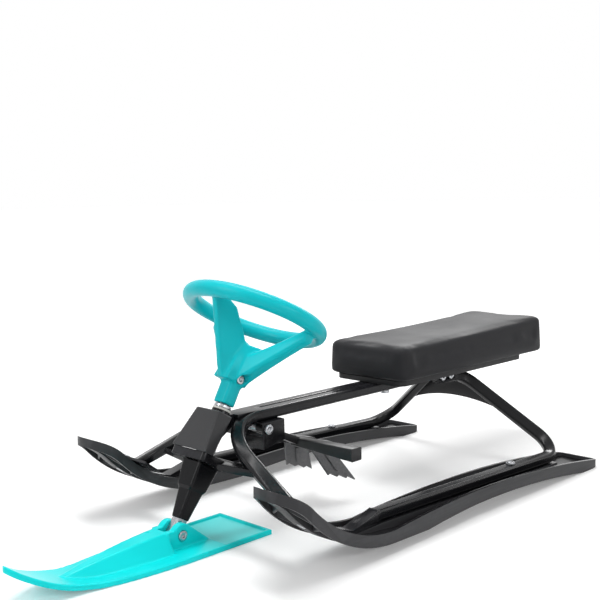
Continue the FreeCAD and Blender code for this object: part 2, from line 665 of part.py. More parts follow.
def ski():
    """One rear ski on the middle line."""
    top = S.ski_nose_x
    rest = (S.ski_heel_x + S.ski_heel_long, -S.ski_heel_long * tangent(S.ski_pitch))
    half = (S.ski_flat_rear_x - rest[0]) / 2
    bow = (half * half + S.ski_camber * S.ski_camber) / (S.ski_camber * 2)
    tip = S.nose_pocket_end - S.overrun
    rise = S.ski_rim_mid - (S.ski_rim_tail + S.ski_rim_front) / 2
    reach = (S.ski_flat_front_x - S.ski_tail_x) / 2
    crest = (reach * reach + rise * rise) / (rise * 2)
    rim_turn = on_nose(S.ski_rim_tip, S.nose_turn)
    rim_ahead, rim_rise = rim_turn[0] - S.ski_flat_front_x, rim_turn[1] - S.ski_rim_front
    rim_bow = (rim_ahead * rim_ahead + rim_rise * rim_rise) / (rim_rise * 2)
    corners = [(S.ski_tail_x, S.ski_tail_lift), (S.ski_heel_x, ZERO), rest, (S.ski_flat_rear_x, ZERO),
               (S.ski_flat_front_x, ZERO), on_nose(ZERO, S.nose_turn), on_tip(ZERO, tip),
               on_tip(S.ski_rim_tip, tip), rim_turn, (S.ski_flat_front_x, S.ski_rim_front),
               (S.ski_tail_x, S.ski_rim_tail)]
    arcs = {2: (bow, -1), 4: (S.ski_nose_radius, 1), 5: (S.tip_radius, -1), 7: (S.tip_radius + S.ski_rim_tip, 1),
            8: (rim_bow, -1), 9: (crest, 1)}
    half_wide = S.ski_shovel / 2 + S.overrun
    band = prism("ski_band", "XZ", corners, -half_wide, half_wide, arcs)
    blank = common("ski_blank", band, ski_plan("ski_plan", ZERO, -S.overrun, top))
    floor = S.ski_floor
    deck = [(S.ski_tail_x - S.overrun, S.ski_tail_lift + floor), (rest[0], rest[1] + floor),
            (S.ski_flat_rear_x, floor), (S.ski_flat_front_x, S.ski_deck), on_nose(S.ski_deck, S.nose_turn),
            on_tip(S.ski_deck, tip), on_tip(S.ski_pad * 3, tip), on_nose(S.ski_pad * 3, S.nose_turn),
            (S.ski_flat_front_x, S.ski_pad * 3), (S.ski_tail_x - S.overrun, S.ski_pad * 3)]
    deck_arcs = {1: (bow, -1), 3: (S.ski_nose_radius - S.ski_deck, 1), 4: (S.tip_radius + S.ski_deck, -1),
                 6: (S.tip_radius + S.ski_pad * 3, 1), 7: (S.ski_nose_radius - S.ski_pad * 3, -1)}
    above = prism("ski_above", "XZ", deck, -half_wide, half_wide, deck_arcs)
    pan = common("ski_pan", above, ski_plan("ski_inside", S.ski_wall, -S.overrun, top))
    end = S.strap_taper
    pad = [(S.rear_corner_x + S.rear_bend, ZERO + S.ski_deck / 2), (S.ski_flat_front_x, S.ski_deck / 2),
           on_nose(S.ski_deck / 2, end), on_nose(S.ski_deck, end), (S.ski_flat_front_x, S.ski_pad),
           (S.rear_corner_x + S.rear_bend, S.ski_pad)]
    pad_arcs = {1: (S.ski_nose_radius - S.ski_deck / 2, 1)}
    ridge = prism("ski_ridge", "XZ", pad, -S.ski_pad_wide / 2, S.ski_pad_wide / 2, pad_arcs)
    corners = [rest, (S.ski_flat_rear_x, ZERO), (S.ski_flat_rear_x, -S.ski_pad), (rest[0], -S.ski_pad)]
    under = prism("ski_under", "XZ", corners[::-1], -half_wide, half_wide, {2: (bow, 1)})
    shell = fuse("ski_shell", cut("ski_trough", blank, pan), cut("ski_ridge_arched", ridge, under))
    holes = [ski_recess(), *ski_bolt_room()]
    return cut("ski_whole", shell, *holes)


def whole_nose_band(name, depth_low, depth_high, start, end, low, high):
    """A strip that follows the ski's nose and its tip between two depths, from an angle to a slope."""
    turn = S.nose_turn
    corners = [on_nose(depth_low, start), on_nose(depth_low, turn), on_tip(depth_low, end), on_tip(depth_high, end),
               on_nose(depth_high, turn), on_nose(depth_high, start)]
    arcs = {0: (S.ski_nose_radius - depth_low, 1), 1: (S.tip_radius + depth_low, -1),
            3: (S.tip_radius + depth_high, 1), 4: (S.ski_nose_radius - depth_high, -1)}
    return prism(name, "XZ", corners, low, high, arcs)


def ski_recess():
    """The hollows under the nose, on both sides of the keel, crossed by ribs."""
    start, end = S.nose_pocket_start, S.nose_pocket_end
    half_wide = S.ski_shovel / 2
    hollow = whole_nose_band("nose_hollow", -S.overrun, S.nose_recess, start, end, -half_wide, half_wide)
    inside = common("nose_inside", hollow, ski_plan("nose_plan", S.ski_wall, -S.overrun, S.ski_nose_x))
    keel = whole_nose_band("nose_keel_band", -S.overrun * 2, S.nose_recess * 2, start - S.overrun, end - S.overrun,
                           -S.nose_keel / 2, S.nose_keel / 2)
    slab = whole_nose_band("nose_rib_slab", S.nose_rib_drop, S.nose_recess * 2, start, end, -half_wide, half_wide)
    near, far = on_nose(ZERO, start)[0], on_tip(ZERO, end)[0]
    span = (far - near) / 3
    strips = []
    for index in range(3):
        low_x, high_x = near + span * index, near + span * (index + 1)
        for tilt in (1, -1):
            rib = S.nose_rib
            corners = [(low_x, -half_wide * tilt), (low_x + rib, -half_wide * tilt),
                       (high_x, half_wide * tilt), (high_x - rib, half_wide * tilt)]
            if tilt < 0:
                corners = corners[::-1]
            strips.append(prism("nose_rib_%d_%d" % (index, tilt + 1), "XY", corners, -S.overrun, S.ski_nose_x))
    ribs = common("nose_ribs", fuse("nose_strips", *strips), slab)
    return cut("nose_pockets", inside, keel, ribs)


def ski_bolt_room():
    """Bolt holes of one ski and the rooms for their nuts in its underside."""
    foot = foot_hole("ski_foot_hole", ZERO)
    run = run_hole("ski_run_hole", ZERO)
    wide = S.nut_wide / 2 / cosine(Size(30.0, "30")) + S.side_play
    base = on_nose(-S.overrun, S.foot_angle)
    foot_room = rod("ski_foot_room", wide, (base[0], ZERO, base[1]), NOSE_DOWN * -1, NUT_ROOM + S.overrun)
    run_room = rod("ski_run_room", wide, (S.run_bolt_x, ZERO, -S.overrun), UP, RUN_NUT_Z + S.overrun)
    return foot, run, foot_room, run_room


RUN_NUT_Z = S.ski_camber + S.ski_floor
middle_ski = ski()
for label, side in (("left_rear_ski", 1), ("right_rear_ski", -1)):
    placed = doc.addObject("Part::Compound", "level_" + label)
    placed.Links = [middle_ski]
    pitched(move(placed, ZERO, S.ski_spread * side), label)

ski_bolts, ski_nuts = [], []
for side in (1, -1):
    y = S.ski_spread * side
    tag = "left" if side > 0 else "right"
    ski_bolts.append(bolt("foot_bolt_" + tag, (FOOT_TOP[0], y, FOOT_TOP[1]), NOSE_DOWN, FOOT_BOLT_LONG,
                          S.bolt_wide, S.bolt_head, S.bolt_head_tall))
    ski_bolts.append(bolt("run_bolt_" + tag, (S.run_bolt_x, y, RUN_TOP), DOWN,
                          RUN_TOP - RUN_NUT_Z + S.nut_tall, S.bolt_wide, S.bolt_head, S.bolt_head_tall))
    seat = on_nose(NUT_ROOM, S.foot_angle)
    ski_nuts.append(nut("foot_nut_" + tag, (seat[0], y, seat[1]), NOSE_DOWN))
    ski_nuts.append(nut("run_nut_" + tag, (S.run_bolt_x, y, RUN_NUT_Z), DOWN))
pitched(group("level_ski_bolts", ski_bolts), "ski_bolts")
pitched(group("level_ski_nuts", ski_nuts), "ski_nuts")

# Bolts that join the rear tubes to the spine, and the seat to the spine
joint_bolts, joint_nuts, seat_bolts = [], [], []
for index, x in enumerate((S.joint_bolt_front_x, S.joint_bolt_rear_x)):
    joint_bolts.append(bolt("joint_bolt_%d" % index, (x, JOINT_Y, SPINE_Z), RIGHT, JOINT_Y * 2 + S.nut_tall,
                            S.bolt_wide, S.bolt_head, S.bolt_head_tall))
    joint_nuts.append(nut("joint_nut_%d" % index, (x, -JOINT_Y, SPINE_Z), RIGHT))
for index, x in enumerate((S.seat_bolt_front_x, S.seat_bolt_rear_x)):
    for side in (1, -1):
        seat_bolts.append(bolt("seat_bolt_%d_%d" % (index, side + 1), (x, SPINE_Y * side, SPINE_LOW), UP,
                               S.tube_tall + S.seat_bolt_depth, S.bolt_wide, S.bolt_head, S.bolt_head_tall))
group("frame_bolts", joint_bolts)
group("frame_nuts", joint_nuts)
group("seat_bolts", seat_bolts)

# Seat: a board on the spine and a padded cushion on the board


def seat_board():
    middle = (S.board_front_x + S.board_rear_x) / 2
    corners, arcs = rounded((S.board_front_x - S.board_rear_x) / 2, S.board_wide / 2, S.board_round, (middle, ZERO))
    board = prism("seat_board_blank", "XY", corners, S.spine_top, S.spine_top + S.board_thick, arcs)
    holes = [hole("board_hole_%d_%d" % (index, side + 1), (x, SPINE_Y * side, SPINE_LOW), UP,
                  S.tube_tall + S.seat_bolt_depth + S.side_play)
             for index, x in enumerate((S.seat_bolt_front_x, S.seat_bolt_rear_x)) for side in (1, -1)]
    return cut("seat_board", board, *holes)


def cushion_section(name, inset, height):
    """A cushion outline with round corners and sides drawn in between them."""
    half_x = (S.seat_front_x - S.seat_rear_x) / 2 - inset
    half_y = S.seat_wide / 2 - inset
    corners, arcs = rounded(half_x, half_y, S.seat_round - inset)
    turn = S.seat_round - inset
    for side, half in ((0, half_x - turn), (2, half_y - turn), (4, half_x - turn), (6, half_y - turn)):
        arcs[side] = ((half * half + S.seat_pull * S.seat_pull) / (S.seat_pull * 2), -1)
    sketch = outline(name, corners, arcs)
    return move(sketch, (S.seat_front_x + S.seat_rear_x) / 2, ZERO, height)


def seat_cushion():
    base = S.spine_top + S.board_thick + S.seat_gap
    top = base + S.seat_tall
    layers = [(S.seat_tuck, base), (ZERO, base + S.seat_edge), (ZERO, top - S.seat_edge * 2),
              (S.seat_tuck, top - S.seat_edge / 2), (S.seat_edge, top + S.seat_edge / 2)]
    pad = loft("cushion_pad", [cushion_section("cushion_layer_%d" % index, *layer)
                               for index, layer in enumerate(layers)])
    crown = doc.addObject("Part::Sphere", "cushion_crown")
    bind(crown, Radius=S.seat_crown_radius)
    move(crown, (S.seat_front_x + S.seat_rear_x) / 2, ZERO, top - S.seat_crown_radius)
    return common("seat_cushion", pad, crown)


named(seat_board(), "seat_board")
named(seat_cushion(), "seat_cushion")

# Steering column: pieces drawn upright on the raked axis, then leaned back together
RAKE = FreeCAD.Rotation(V(0, 1, 0), -S.steer_rake.value)
AXIS = RAKE.multVec(V(0, 0, 1))


def leaned(piece, label):
    """A piece drawn on the column's own axes, set on the raked axis."""
    whole = doc.addObject("Part::Compound", label)
    whole.Links = [piece]
    whole.Placement = FreeCAD.Placement(V(0, 0, 0), RAKE)
    return named(move(whole, S.steer_foot_x, ZERO, S.steer_foot_z), label)


def column_rod(name, wide, low, high):
    return rod(name, wide / 2, (ZERO, ZERO, low), UP, high - low)


def bush(name, seat, way):
    """A flanged plastic bush; way 1 reaches up from its seat and -1 down."""
    sleeve_low, sleeve_high = (seat, seat + S.bush_long) if way > 0 else (seat - S.bush_long, seat)
    flange_low, flange_high = (seat - S.bush_flange, seat) if way > 0 else (seat, seat + S.bush_flange)
    sleeve = column_rod(name + "_sleeve", S.head_bore - S.fit_slack * 2, sleeve_low, sleeve_high)
    flange = column_rod(name + "_flange", S.head_wide, flange_low, flange_high)
    whole = fuse(name + "_body", sleeve, flange)
    reach = S.bush_long * 2
    bore = column_rod(name + "_bore", S.shaft_wide + S.run_slack * 2, seat - reach, seat + reach)
    return cut(name + "_turned", whole, bore)


head_solid = leaned(column_rod("head_solid_rod", S.head_wide, S.head_low, S.head_high), "head_solid")
leaned(cut("head_tube_pipe", column_rod("head_outer", S.head_wide, S.head_low, S.head_high),
           column_rod("head_inner", S.head_bore, S.head_low - S.overrun, S.head_high + S.overrun)), "head_tube")
leaned(bush("lower_bush", S.head_low, 1), "lower_steering_bush")
leaned(bush("upper_bush", S.head_high, -1), "upper_steering_bush")


def head_gusset():
    """The upright plate that ties the head tube to the nose block."""
    corners = [(S.block_front_x, SPINE_LOW), (S.gusset_nose_x, S.gusset_low_z),
               (S.steer_foot_x - (S.spine_top - S.steer_foot_z) * tangent(S.steer_rake), S.spine_top),
               (S.block_front_x, S.spine_top)]
    plate = prism("gusset_blank", "XZ", corners, -S.gusset_wide / 2, S.gusset_wide / 2)
    return cut("head_gusset", plate, head_solid)


def brace_plate():
    """The bow-tie brace between the front legs, welded round the foot of the head tube."""
    half, reach = S.brace_flat, S.brace_reach
    corners = [(S.brace_front_x, -half), (S.brace_front_x, half), (S.brace_tip_x, reach),
               (S.front_corner_x, reach), (S.brace_rear_x, half), (S.brace_rear_x, -half),
               (S.front_corner_x, -reach), (S.brace_tip_x, -reach)]
    plate = prism("brace_blank", "XY", corners, S.brace_low, S.brace_low + S.brace_thick)
    middle = ((S.flange_front - S.flange_back) / 2, ZERO)
    corners, arcs = rounded((S.flange_front + S.flange_back) / 2, S.flange_half, S.flange_round, middle)
    low = S.cone_high + S.side_play * 2
    flange = leaned(prism("brace_flange_blank", "XY", corners, low, S.cover_low, arcs), "brace_flange")
    return cut("brace_plate", fuse("brace_whole", plate, flange), head_solid, front_bar, front_bar_right,
               *brace_rooms())


def brace_rooms():
    """Room under the brace for the lower bush's flange and for the turning cone."""
    wide = S.head_wide + S.side_play * 2
    bush_room = column_rod("bush_room_rod", wide, S.cone_step_high, S.head_low)
    cone_room = column_rod("cone_room_rod", S.cone_high_wide * 3 / 2, S.cone_step_high, S.cone_high + S.side_play)
    return leaned(bush_room, "bush_room"), leaned(cone_room, "cone_room")


named(head_gusset(), "head_gusset")
named(brace_plate(), "brace_plate")


def front_cover():
    """The moulded cover in front of the head tube: a tapered shell, open at its back and ends."""
    def ring(name, inset, low, high, back):
        rows = ((low, S.cover_half_low, S.cover_front_low, S.cover_back_low),
                (high, S.cover_half_high, S.cover_front_high, S.cover_back_high))
        layers = []
        for height, half, front, rear in rows:
            corners = [(rear - back, inset - half), (front - inset, inset - half), (front - inset, half - inset),
                       (rear - back, half - inset)]
            layers.append(move(outline("%s_%d" % (name, len(layers)), corners), ZERO, ZERO, height))
        return loft(name, layers)

    skin = ring("cover_skin", ZERO, S.cover_low, S.cover_high, ZERO)
    room = ring("cover_room", S.cover_wall, S.cover_low - S.overrun / 2, S.cover_high - S.cover_wall, S.overrun * 2)
    opening = column_rod("cover_opening", S.collar_wide + S.overrun * 2, S.cover_low, S.cover_high + S.overrun)
    shell = cut("cover_shell", skin, room, opening)
    half = S.cover_rib / 2
    blank = box("cover_rib_blank", (ZERO, -half, S.cover_low + S.overrun),
                (S.cover_front_low, half, S.cover_high - S.overrun * 2))
    seat = column_rod("cover_rib_seat", S.head_wide, S.head_low, S.head_high)
    rib = cut("cover_rib", common("cover_rib_inside", skin, blank), seat)
    return fuse("cover_ribbed", shell, rib)


leaned(front_cover(), "front_cover")


def steering_shaft():
    """The steel shaft with the tongue that carries the front ski."""
    bar = column_rod("shaft_bar", S.shaft_wide, S.shaft_low, S.shaft_high)
    bolt_way = hole("shaft_bolt_hole", (ZERO, -S.shaft_wide, S.wheel_bolt_at), LEFT, S.shaft_wide * 2)
    ahead, above = S.pivot_x - S.steer_foot_x, S.pivot_z - S.steer_foot_z
    eye = (ahead * cosine(S.steer_rake) + above * sine(S.steer_rake),
           above * cosine(S.steer_rake) - ahead * sine(S.steer_rake))
    half, turn = S.shaft_wide / 2, S.tongue_round
    top = S.shaft_low + S.tongue_neck
    corners = [(-half, top), (-half, S.shaft_low), (eye[0] - turn, eye[1]), (eye[0] + turn, eye[1]),
               (half, S.shaft_low), (half, top)]
    web = prism("tongue_web", "XZ", corners, -S.tongue_wide / 2, S.tongue_wide / 2)
    ring = rod("tongue_ring", S.tongue_round, (eye[0], -S.tongue_wide / 2, eye[1]), LEFT, S.tongue_wide)
    bore = hole("tongue_bore", (eye[0], -S.tongue_wide, eye[1]), LEFT, S.tongue_wide * 2)
    return cut("shaft_turned", fuse("shaft_joined", bar, web, ring), bore, bolt_way)


def square(name, wide, height, corner):
    corners, arcs = rounded(wide / 2, wide / 2, corner)
    return move(outline(name, corners, arcs), ZERO, ZERO, height)


def column_cone():
    """The two-stage square shroud on the shaft, under the brace."""
    top = S.cone_high
    rows = [("cone_lower", (S.cone_low_wide, S.cone_low), (S.cone_mid_wide, S.cone_step_low)),
            ("cone_shoulder", (S.cone_mid_wide, S.cone_step_low), (S.cone_step_wide, S.cone_step_high)),
            ("cone_upper", (S.cone_step_wide, S.cone_step_high), (S.cone_high_wide, top))]
    stages = [loft(name, [square(name + "_low", *low, S.cone_round), square(name + "_high", *high, S.cone_round)])
              for name, low, high in rows]
    bore = column_rod("cone_bore", S.shaft_wide + S.fit_slack * 2, S.cone_low - S.overrun, top + S.overrun)
    half = S.tongue_wide / 2 + S.side_play
    slot = box("cone_slot", (-S.shaft_wide / 2 - S.side_play, -half, S.cone_low - S.overrun),
               (S.shaft_wide / 2 + S.side_play, half, S.shaft_low + S.tongue_neck + S.side_play))
    return cut("cone_moulded", fuse("cone_stages", *stages), bore, slot)


def collar():
    """The steel washer and lock collar between the upper bush and the wheel's neck."""
    low = S.head_high + S.bush_flange + S.side_play
    ring = column_rod("collar_ring", S.collar_wide, low, low + S.collar_tall)
    bore = column_rod("collar_bore", S.shaft_wide + S.fit_slack * 2, low - S.overrun, low + S.collar_tall + S.overrun)
    return cut("collar_turned", ring, bore)


leaned(steering_shaft(), "steering_shaft")
leaned(column_cone(), "column_cone")
leaned(collar(), "shaft_collar")

# Steering wheel: an oval rim on three fins that rise from a square neck


def rim():
    """The oval rim, four tangent arcs swept with a round section."""
    wide, long, side = S.wheel_half_wide.value, S.wheel_half_long.value, S.wheel_side_radius.value
    end = ((wide - side) ** 2 + long ** 2 - side ** 2) / (2 * (long - side))
    shift = V(S.wheel_ahead.value, 0, S.wheel_plane.value)
    toward = V(end - long, wide - side, 0).normalize()
    touch = V(0, wide - side, 0) + toward * side
    marks = [V(touch.x, -touch.y, 0), V(long, 0, 0), touch, V(0, wide, 0), V(-touch.x, touch.y, 0), V(-long, 0, 0),
             V(-touch.x, -touch.y, 0), V(0, -wide, 0)]
    arcs = [Part.Arc(marks[at] + shift, marks[at + 1] + shift, marks[(at + 2) % 8] + shift) for at in (0, 2, 4, 6)]
    path = doc.addObject("Part::Feature", "rim_path")
    path.Shape = Part.Wire([arc.toShape() for arc in arcs])
    start = marks[0] + shift
    ring = doc.addObject("Part::Feature", "rim_section")
    heading = arcs[0].tangent(arcs[0].FirstParameter)[0]
    ring.Shape = Part.Wire(Part.makeCircle(S.rim_wide.value / 2, start, heading))
    tube = doc.addObject("Part::Sweep", "rim_tube")
    tube.Sections = [ring]
    tube.Spine = (path, ["Edge1", "Edge2", "Edge3", "Edge4"])
    tube.Solid = True
    return tube


def hub_section(name, front, nose, half, height):
    """A level outline of the hub: square at its back and drawn in toward the front fin."""
    back, wing = -S.hub_back, -S.hub_wing_back
    corners = [(back, -half), (wing, -half), (front, -nose), (front, nose), (wing, half), (back, half)]
    return move(outline(name, corners), ZERO, ZERO, height)


def side_fin(name):
    """The left fin: deep at the hub, thin at the rim and swept a little back."""
    low, high = S.neck_high + S.fin_rise, S.wheel_plane - S.fin_tip_drop
    root_y, tip_y = S.hub_half / 2, S.wheel_half_wide - S.rim_wide / 3
    rows = ((root_y, low, S.fin_root_tall, ZERO, S.fin_thick * FIN_ROOT_SHARE),
            ((root_y + tip_y) / 2, (low + high) / 2, S.fin_mid_tall, S.fin_back / 2, S.fin_thick * FIN_MID_SHARE),
            (tip_y, high, S.fin_tip_tall, S.fin_back, S.fin_thick))
    layers = []
    for y, height, tall, back, thick in rows:
        corners, arcs = rounded(thick / 2, tall / 2, S.neck_round, (-back, height))
        sketch = outline("%s_%d" % (name, len(layers)), corners, arcs, PLANES["XZ"])
        layers.append(move(sketch, ZERO, y))
    return loft(name, layers)


def front_fin():
    """The deep fin at the front of the hub, up to the rim, with a narrow front edge."""
    reach = S.wheel_half_long + S.wheel_ahead - S.rim_wide / 3
    low, high = S.neck_high, S.wheel_plane - S.rim_wide / 4
    flare = S.fin_flare_thick / 2
    corners = [(-S.hub_back / 2, low), (S.hub_front, low), (reach, high), (reach, high + S.rim_wide / 2),
               (reach - S.rim_wide * 5 / 3, high), (S.fin_waist_x, S.fin_waist_at), (S.fin_foot_x, S.fin_foot_at),
               (-S.hub_back / 2, S.hub_high)]
    side = prism("fin_side", "XZ", corners, -flare, flare)
    edge = S.fin_edge_thick / 2
    corners = [(-S.hub_back * 2, -flare), (S.hub_front, -edge), (S.hub_front, edge), (-S.hub_back * 2, flare)]
    wedge = doc.addObject("Part::Extrusion", "fin_wedge")
    wedge.Base = move(outline("fin_wedge_outline", corners), ZERO, ZERO, low)
    wedge.DirMode = "Custom"
    wedge.Dir = V(number(reach - S.hub_front), 0, number(high - low)).normalize()
    wedge.Solid = True
    bind(wedge, LengthFwd=(high - low) * 2)
    return common("front_fin", side, wedge)


def steering_wheel():
    neck = loft("wheel_neck", [square("neck_foot", S.neck_wide, S.neck_low, S.neck_round),
                               square("neck_head", S.neck_wide, S.neck_high + S.overrun, S.neck_round)])
    hub = loft("wheel_hub", [hub_section("hub_foot", S.hub_front, S.hub_half, S.hub_half, S.neck_high),
                             hub_section("hub_head", S.hub_nose_front, S.hub_nose_half, S.hub_high_half,
                                         S.hub_high)])
    left = side_fin("left_fin")
    right = mirrored(left, "right_fin")
    whole = fuse("wheel_moulded", rim(), neck, hub, front_fin(), left, right)
    bore_wide = S.shaft_wide + S.fit_slack * 2
    bore = column_rod("wheel_bore", bore_wide, S.neck_low - S.overrun, S.shaft_high + S.side_play)
    cross = S.hub_high_half + S.overrun
    bolt_way = hole("wheel_bolt_hole", (ZERO, -cross, S.wheel_bolt_at), LEFT, cross * 2)
    rooms = [rod("wheel_head_room_%d" % (side + 1), S.bolt_head / 2 + S.side_play,
                 (ZERO, WHEEL_SEAT * side, S.wheel_bolt_at), V(0, side, 0), S.bolt_head + S.overrun)
             for side in (1, -1)]
    return cut("wheel_drilled", whole, bore, bolt_way, *rooms)


WHEEL_SEAT = S.hub_half - S.bolt_head_tall / 2
leaned(steering_wheel(), "steering_wheel")
leaned(bolt("wheel_bolt_raw", (ZERO, WHEEL_SEAT, S.wheel_bolt_at), RIGHT, WHEEL_SEAT * 2 + S.nut_tall,
            S.bolt_wide, S.bolt_head, S.bolt_head_tall), "wheel_bolt")
leaned(nut("wheel_nut_raw", (ZERO, -WHEEL_SEAT, S.wheel_bolt_at), RIGHT), "wheel_nut")

# Front ski: a flat glide with an upturned nose, a boat-shaped ridge and two lobes for the pivot bolt


def glide_point(depth, x):
    """Height of the glide at a depth inside its running face, ahead of its bend."""
    ahead = x - S.glide_bend_x
    reach = S.glide_radius - depth
    return (x, S.glide_radius - root(reach * reach - ahead * ahead))


def glide_plan(name, inset, rear, low, high):
    """The glide from above: straight sides and a long round nose."""
    half, flank, cheek = S.glide_wide / 2 - inset, S.glide_flank - inset, S.glide_cheek - inset
    tip = S.glide_tip_x - inset
    corners = [(rear, -half), (S.glide_taper_x, -half), (S.glide_flank_x, -flank), (S.glide_cheek_x, -cheek),
               (tip, ZERO), (S.glide_cheek_x, cheek), (S.glide_flank_x, flank), (S.glide_taper_x, half), (rear, half)]
    bows = {1: (S.glide_taper_bow, 1), 2: (S.glide_flank_bow, 1), 3: (S.glide_nose_bow, 1),
            4: (S.glide_nose_bow, 1), 5: (S.glide_flank_bow, 1), 6: (S.glide_taper_bow, 1)}
    return prism(name, "XY", corners, low, high, bows)


def glide():
    """The flat body of the front ski with its recessed rear pad."""
    half = S.glide_wide / 2 + S.overrun
    rim_top = glide_point(S.glide_thick, S.glide_tip_x)
    corners = [(S.glide_rear_x, ZERO), (S.glide_bend_x, ZERO), glide_point(ZERO, S.glide_tip_x + S.overrun),
               glide_point(S.glide_thick, S.glide_tip_x + S.overrun), (S.glide_bend_x, S.glide_thick),
               (S.glide_rear_x, S.glide_thick)]
    arcs = {1: (S.glide_radius, 1), 3: (S.glide_radius - S.glide_thick, -1)}
    band = prism("glide_band", "XZ", corners, -half, half, arcs)
    top = rim_top[1] + S.overrun
    blank = common("glide_blank", band, glide_plan("glide_plan", ZERO, S.glide_rear_x, -S.overrun, top))
    inner = S.glide_wide / 2 - S.glide_rim
    pad = box("glide_pad", (S.glide_rear_x + S.glide_rim, -inner, S.glide_floor), (S.pad_front_x, inner, top))
    return cut("glide_body", blank, pad)


def ridge_section(name, x, foot, crest, top, low):
    """A trapezoid across the ridge, at a distance along the sled."""
    corners = [(-foot, low), (foot, low), (crest, top), (-crest, top)]
    return move(outline(name, corners, None, PLANES["YZ"]), x)


def front_ski():
    floor = S.glide_floor
    deck = glide_point(S.glide_thick, S.ridge_front_x)[1]
    rear = ridge_section("ridge_rear", S.ridge_rear_x, S.ridge_rear_half, S.ridge_rear_top, S.ridge_rear_z, floor)
    middle = ridge_section("ridge_mid", S.ridge_mid_x, S.ridge_mid_half, S.ridge_mid_top, S.ridge_mid_z, floor)
    front = ridge_section("ridge_front", S.ridge_front_x, S.ridge_front_half, S.ridge_front_top, deck, deck - floor)
    ridge = loft("glide_ridge", [rear, middle, front])
    lobes = []
    for side in (1, -1):
        low, high = (S.lobe_inner, S.lobe_outer) if side > 0 else (-S.lobe_outer, -S.lobe_inner)
        disc = rod("lobe_disc_%d" % (side + 1), S.lobe_radius, (S.pivot_x, low, S.pivot_z), LEFT, high - low)
        top = S.pivot_z + S.lobe_radius
        corners = [(S.lobe_tail_x, floor), (S.ridge_rear_x, floor), (S.ridge_rear_x, S.ridge_rear_z),
                   (S.pivot_x + S.lobe_radius * LOBE_FRONT_SHARE, S.ridge_rear_z), (S.pivot_x, S.pivot_z),
                   (S.pivot_x - S.lobe_radius * LOBE_BACK_SHARE, top - S.lobe_radius * LOBE_DROP_SHARE),
                   (S.lobe_tail_x, S.glide_thick)]
        cheek = prism("lobe_cheek_%d" % (side + 1), "XZ", corners, low, high)
        lobes += [disc, cheek]
    whole = fuse("glide_joined", glide(), ridge, *lobes)
    slot = box("glide_slot", (S.slot_rear_x, -S.lobe_inner, S.slot_floor),
               (S.ridge_rear_x, S.lobe_inner, S.ridge_rear_z * 2))
    bore = hole("glide_bore", (S.pivot_x, -S.lobe_outer - S.overrun, S.pivot_z), LEFT, (S.lobe_outer + S.overrun) * 2)
    rooms = [rod("glide_room_%d" % (side + 1), S.bolt_head / 2 + S.side_play,
                 (S.pivot_x, (S.lobe_outer - S.lobe_recess) * side, S.pivot_z), V(0, side, 0), S.lobe_recess * 2)
             for side in (1, -1)]
    return cut("front_ski", whole, slot, bore, *rooms)


named(front_ski(), "front_ski")
PIVOT_SEAT = S.lobe_outer - S.lobe_recess
named(bolt("ski_pivot_bolt", (S.pivot_x, PIVOT_SEAT, S.pivot_z), RIGHT, PIVOT_SEAT * 2 + S.nut_tall,
           S.bolt_wide, S.bolt_head, S.bolt_head_tall), "ski_pivot_bolt")
named(nut("ski_pivot_nut", (S.pivot_x, -PIVOT_SEAT, S.pivot_z), RIGHT), "ski_pivot_nut")

# Foot brakes: a folded bracket under the spine, and two sprung pedals with claws on one cross bolt


def brake_bracket():
    half, skin = S.bracket_half, S.bracket_skin
    corners = [(S.bracket_rear_x, S.bracket_rear_low), (S.bracket_front_x, S.bracket_front_low),
               (S.bracket_front_x, SPINE_LOW), (S.bracket_rear_x, SPINE_LOW)]
    cheeks = [prism("bracket_left", "XZ", corners, half - skin, half),
              prism("bracket_right", "XZ", corners, -half, skin - half)]
    roof = box("bracket_roof", (S.bracket_rear_x, -half, SPINE_LOW - skin), (S.bracket_front_x, half, SPINE_LOW))
    front = box("bracket_front", (S.bracket_front_x - skin, -half, S.bracket_front_low),
                (S.bracket_front_x, half, S.bracket_front_high))
    whole = fuse("bracket_folded", roof, front, *cheeks)
    holes = [bracket_hole("bracket_hole_%d" % (side + 1), BRACKET_BOLT_Y * side) for side in (1, -1)]
    cross = hole("bracket_cross_hole", (S.brake_x, -half - S.overrun, S.brake_z), LEFT, (half + S.overrun) * 2)
    return cut("brake_bracket", whole, cross, front_bar, front_bar_right, *holes)


named(brake_bracket(), "brake_bracket")
group("bracket_screws", [bolt("bracket_screw_%d" % (side + 1),
                              (BRACKET_MID_X, BRACKET_BOLT_Y * side, SPINE_LOW - S.bracket_skin), UP,
                              S.bracket_skin + S.tube_wall * 2, S.screw_wide, S.screw_head, S.screw_head_tall)
                         for side in (1, -1)])
named(bolt("brake_pivot_bolt", (S.brake_x, S.bracket_half, S.brake_z), RIGHT, S.bracket_half * 2 + S.nut_tall,
           S.bolt_wide, S.bolt_head, S.bolt_head_tall), "brake_pivot_bolt")
named(nut("brake_pivot_nut", (S.brake_x, -S.bracket_half, S.brake_z), RIGHT), "brake_pivot_nut")

CLAW_Y = S.hub_outer + S.claw_thick
TAIL_HALF = S.arm_tall / 2 * cosine(S.tail_fall)


def on_tail(along, drop):
    """A point in side view, a length behind the foot peg along the pedal's tail and a drop below its middle."""
    return (S.peg_x - along * cosine(S.tail_fall) + drop * sine(S.tail_fall),
            S.peg_z - along * sine(S.tail_fall) - drop * cosine(S.tail_fall))


def tail_strip(name, start, end, high, low, inner, outer):
    """A flat strip along the pedal's tail."""
    corners = [on_tail(start, low), on_tail(start, high), on_tail(end, high), on_tail(end, low)]
    return prism(name, "XZ", corners, inner, outer)


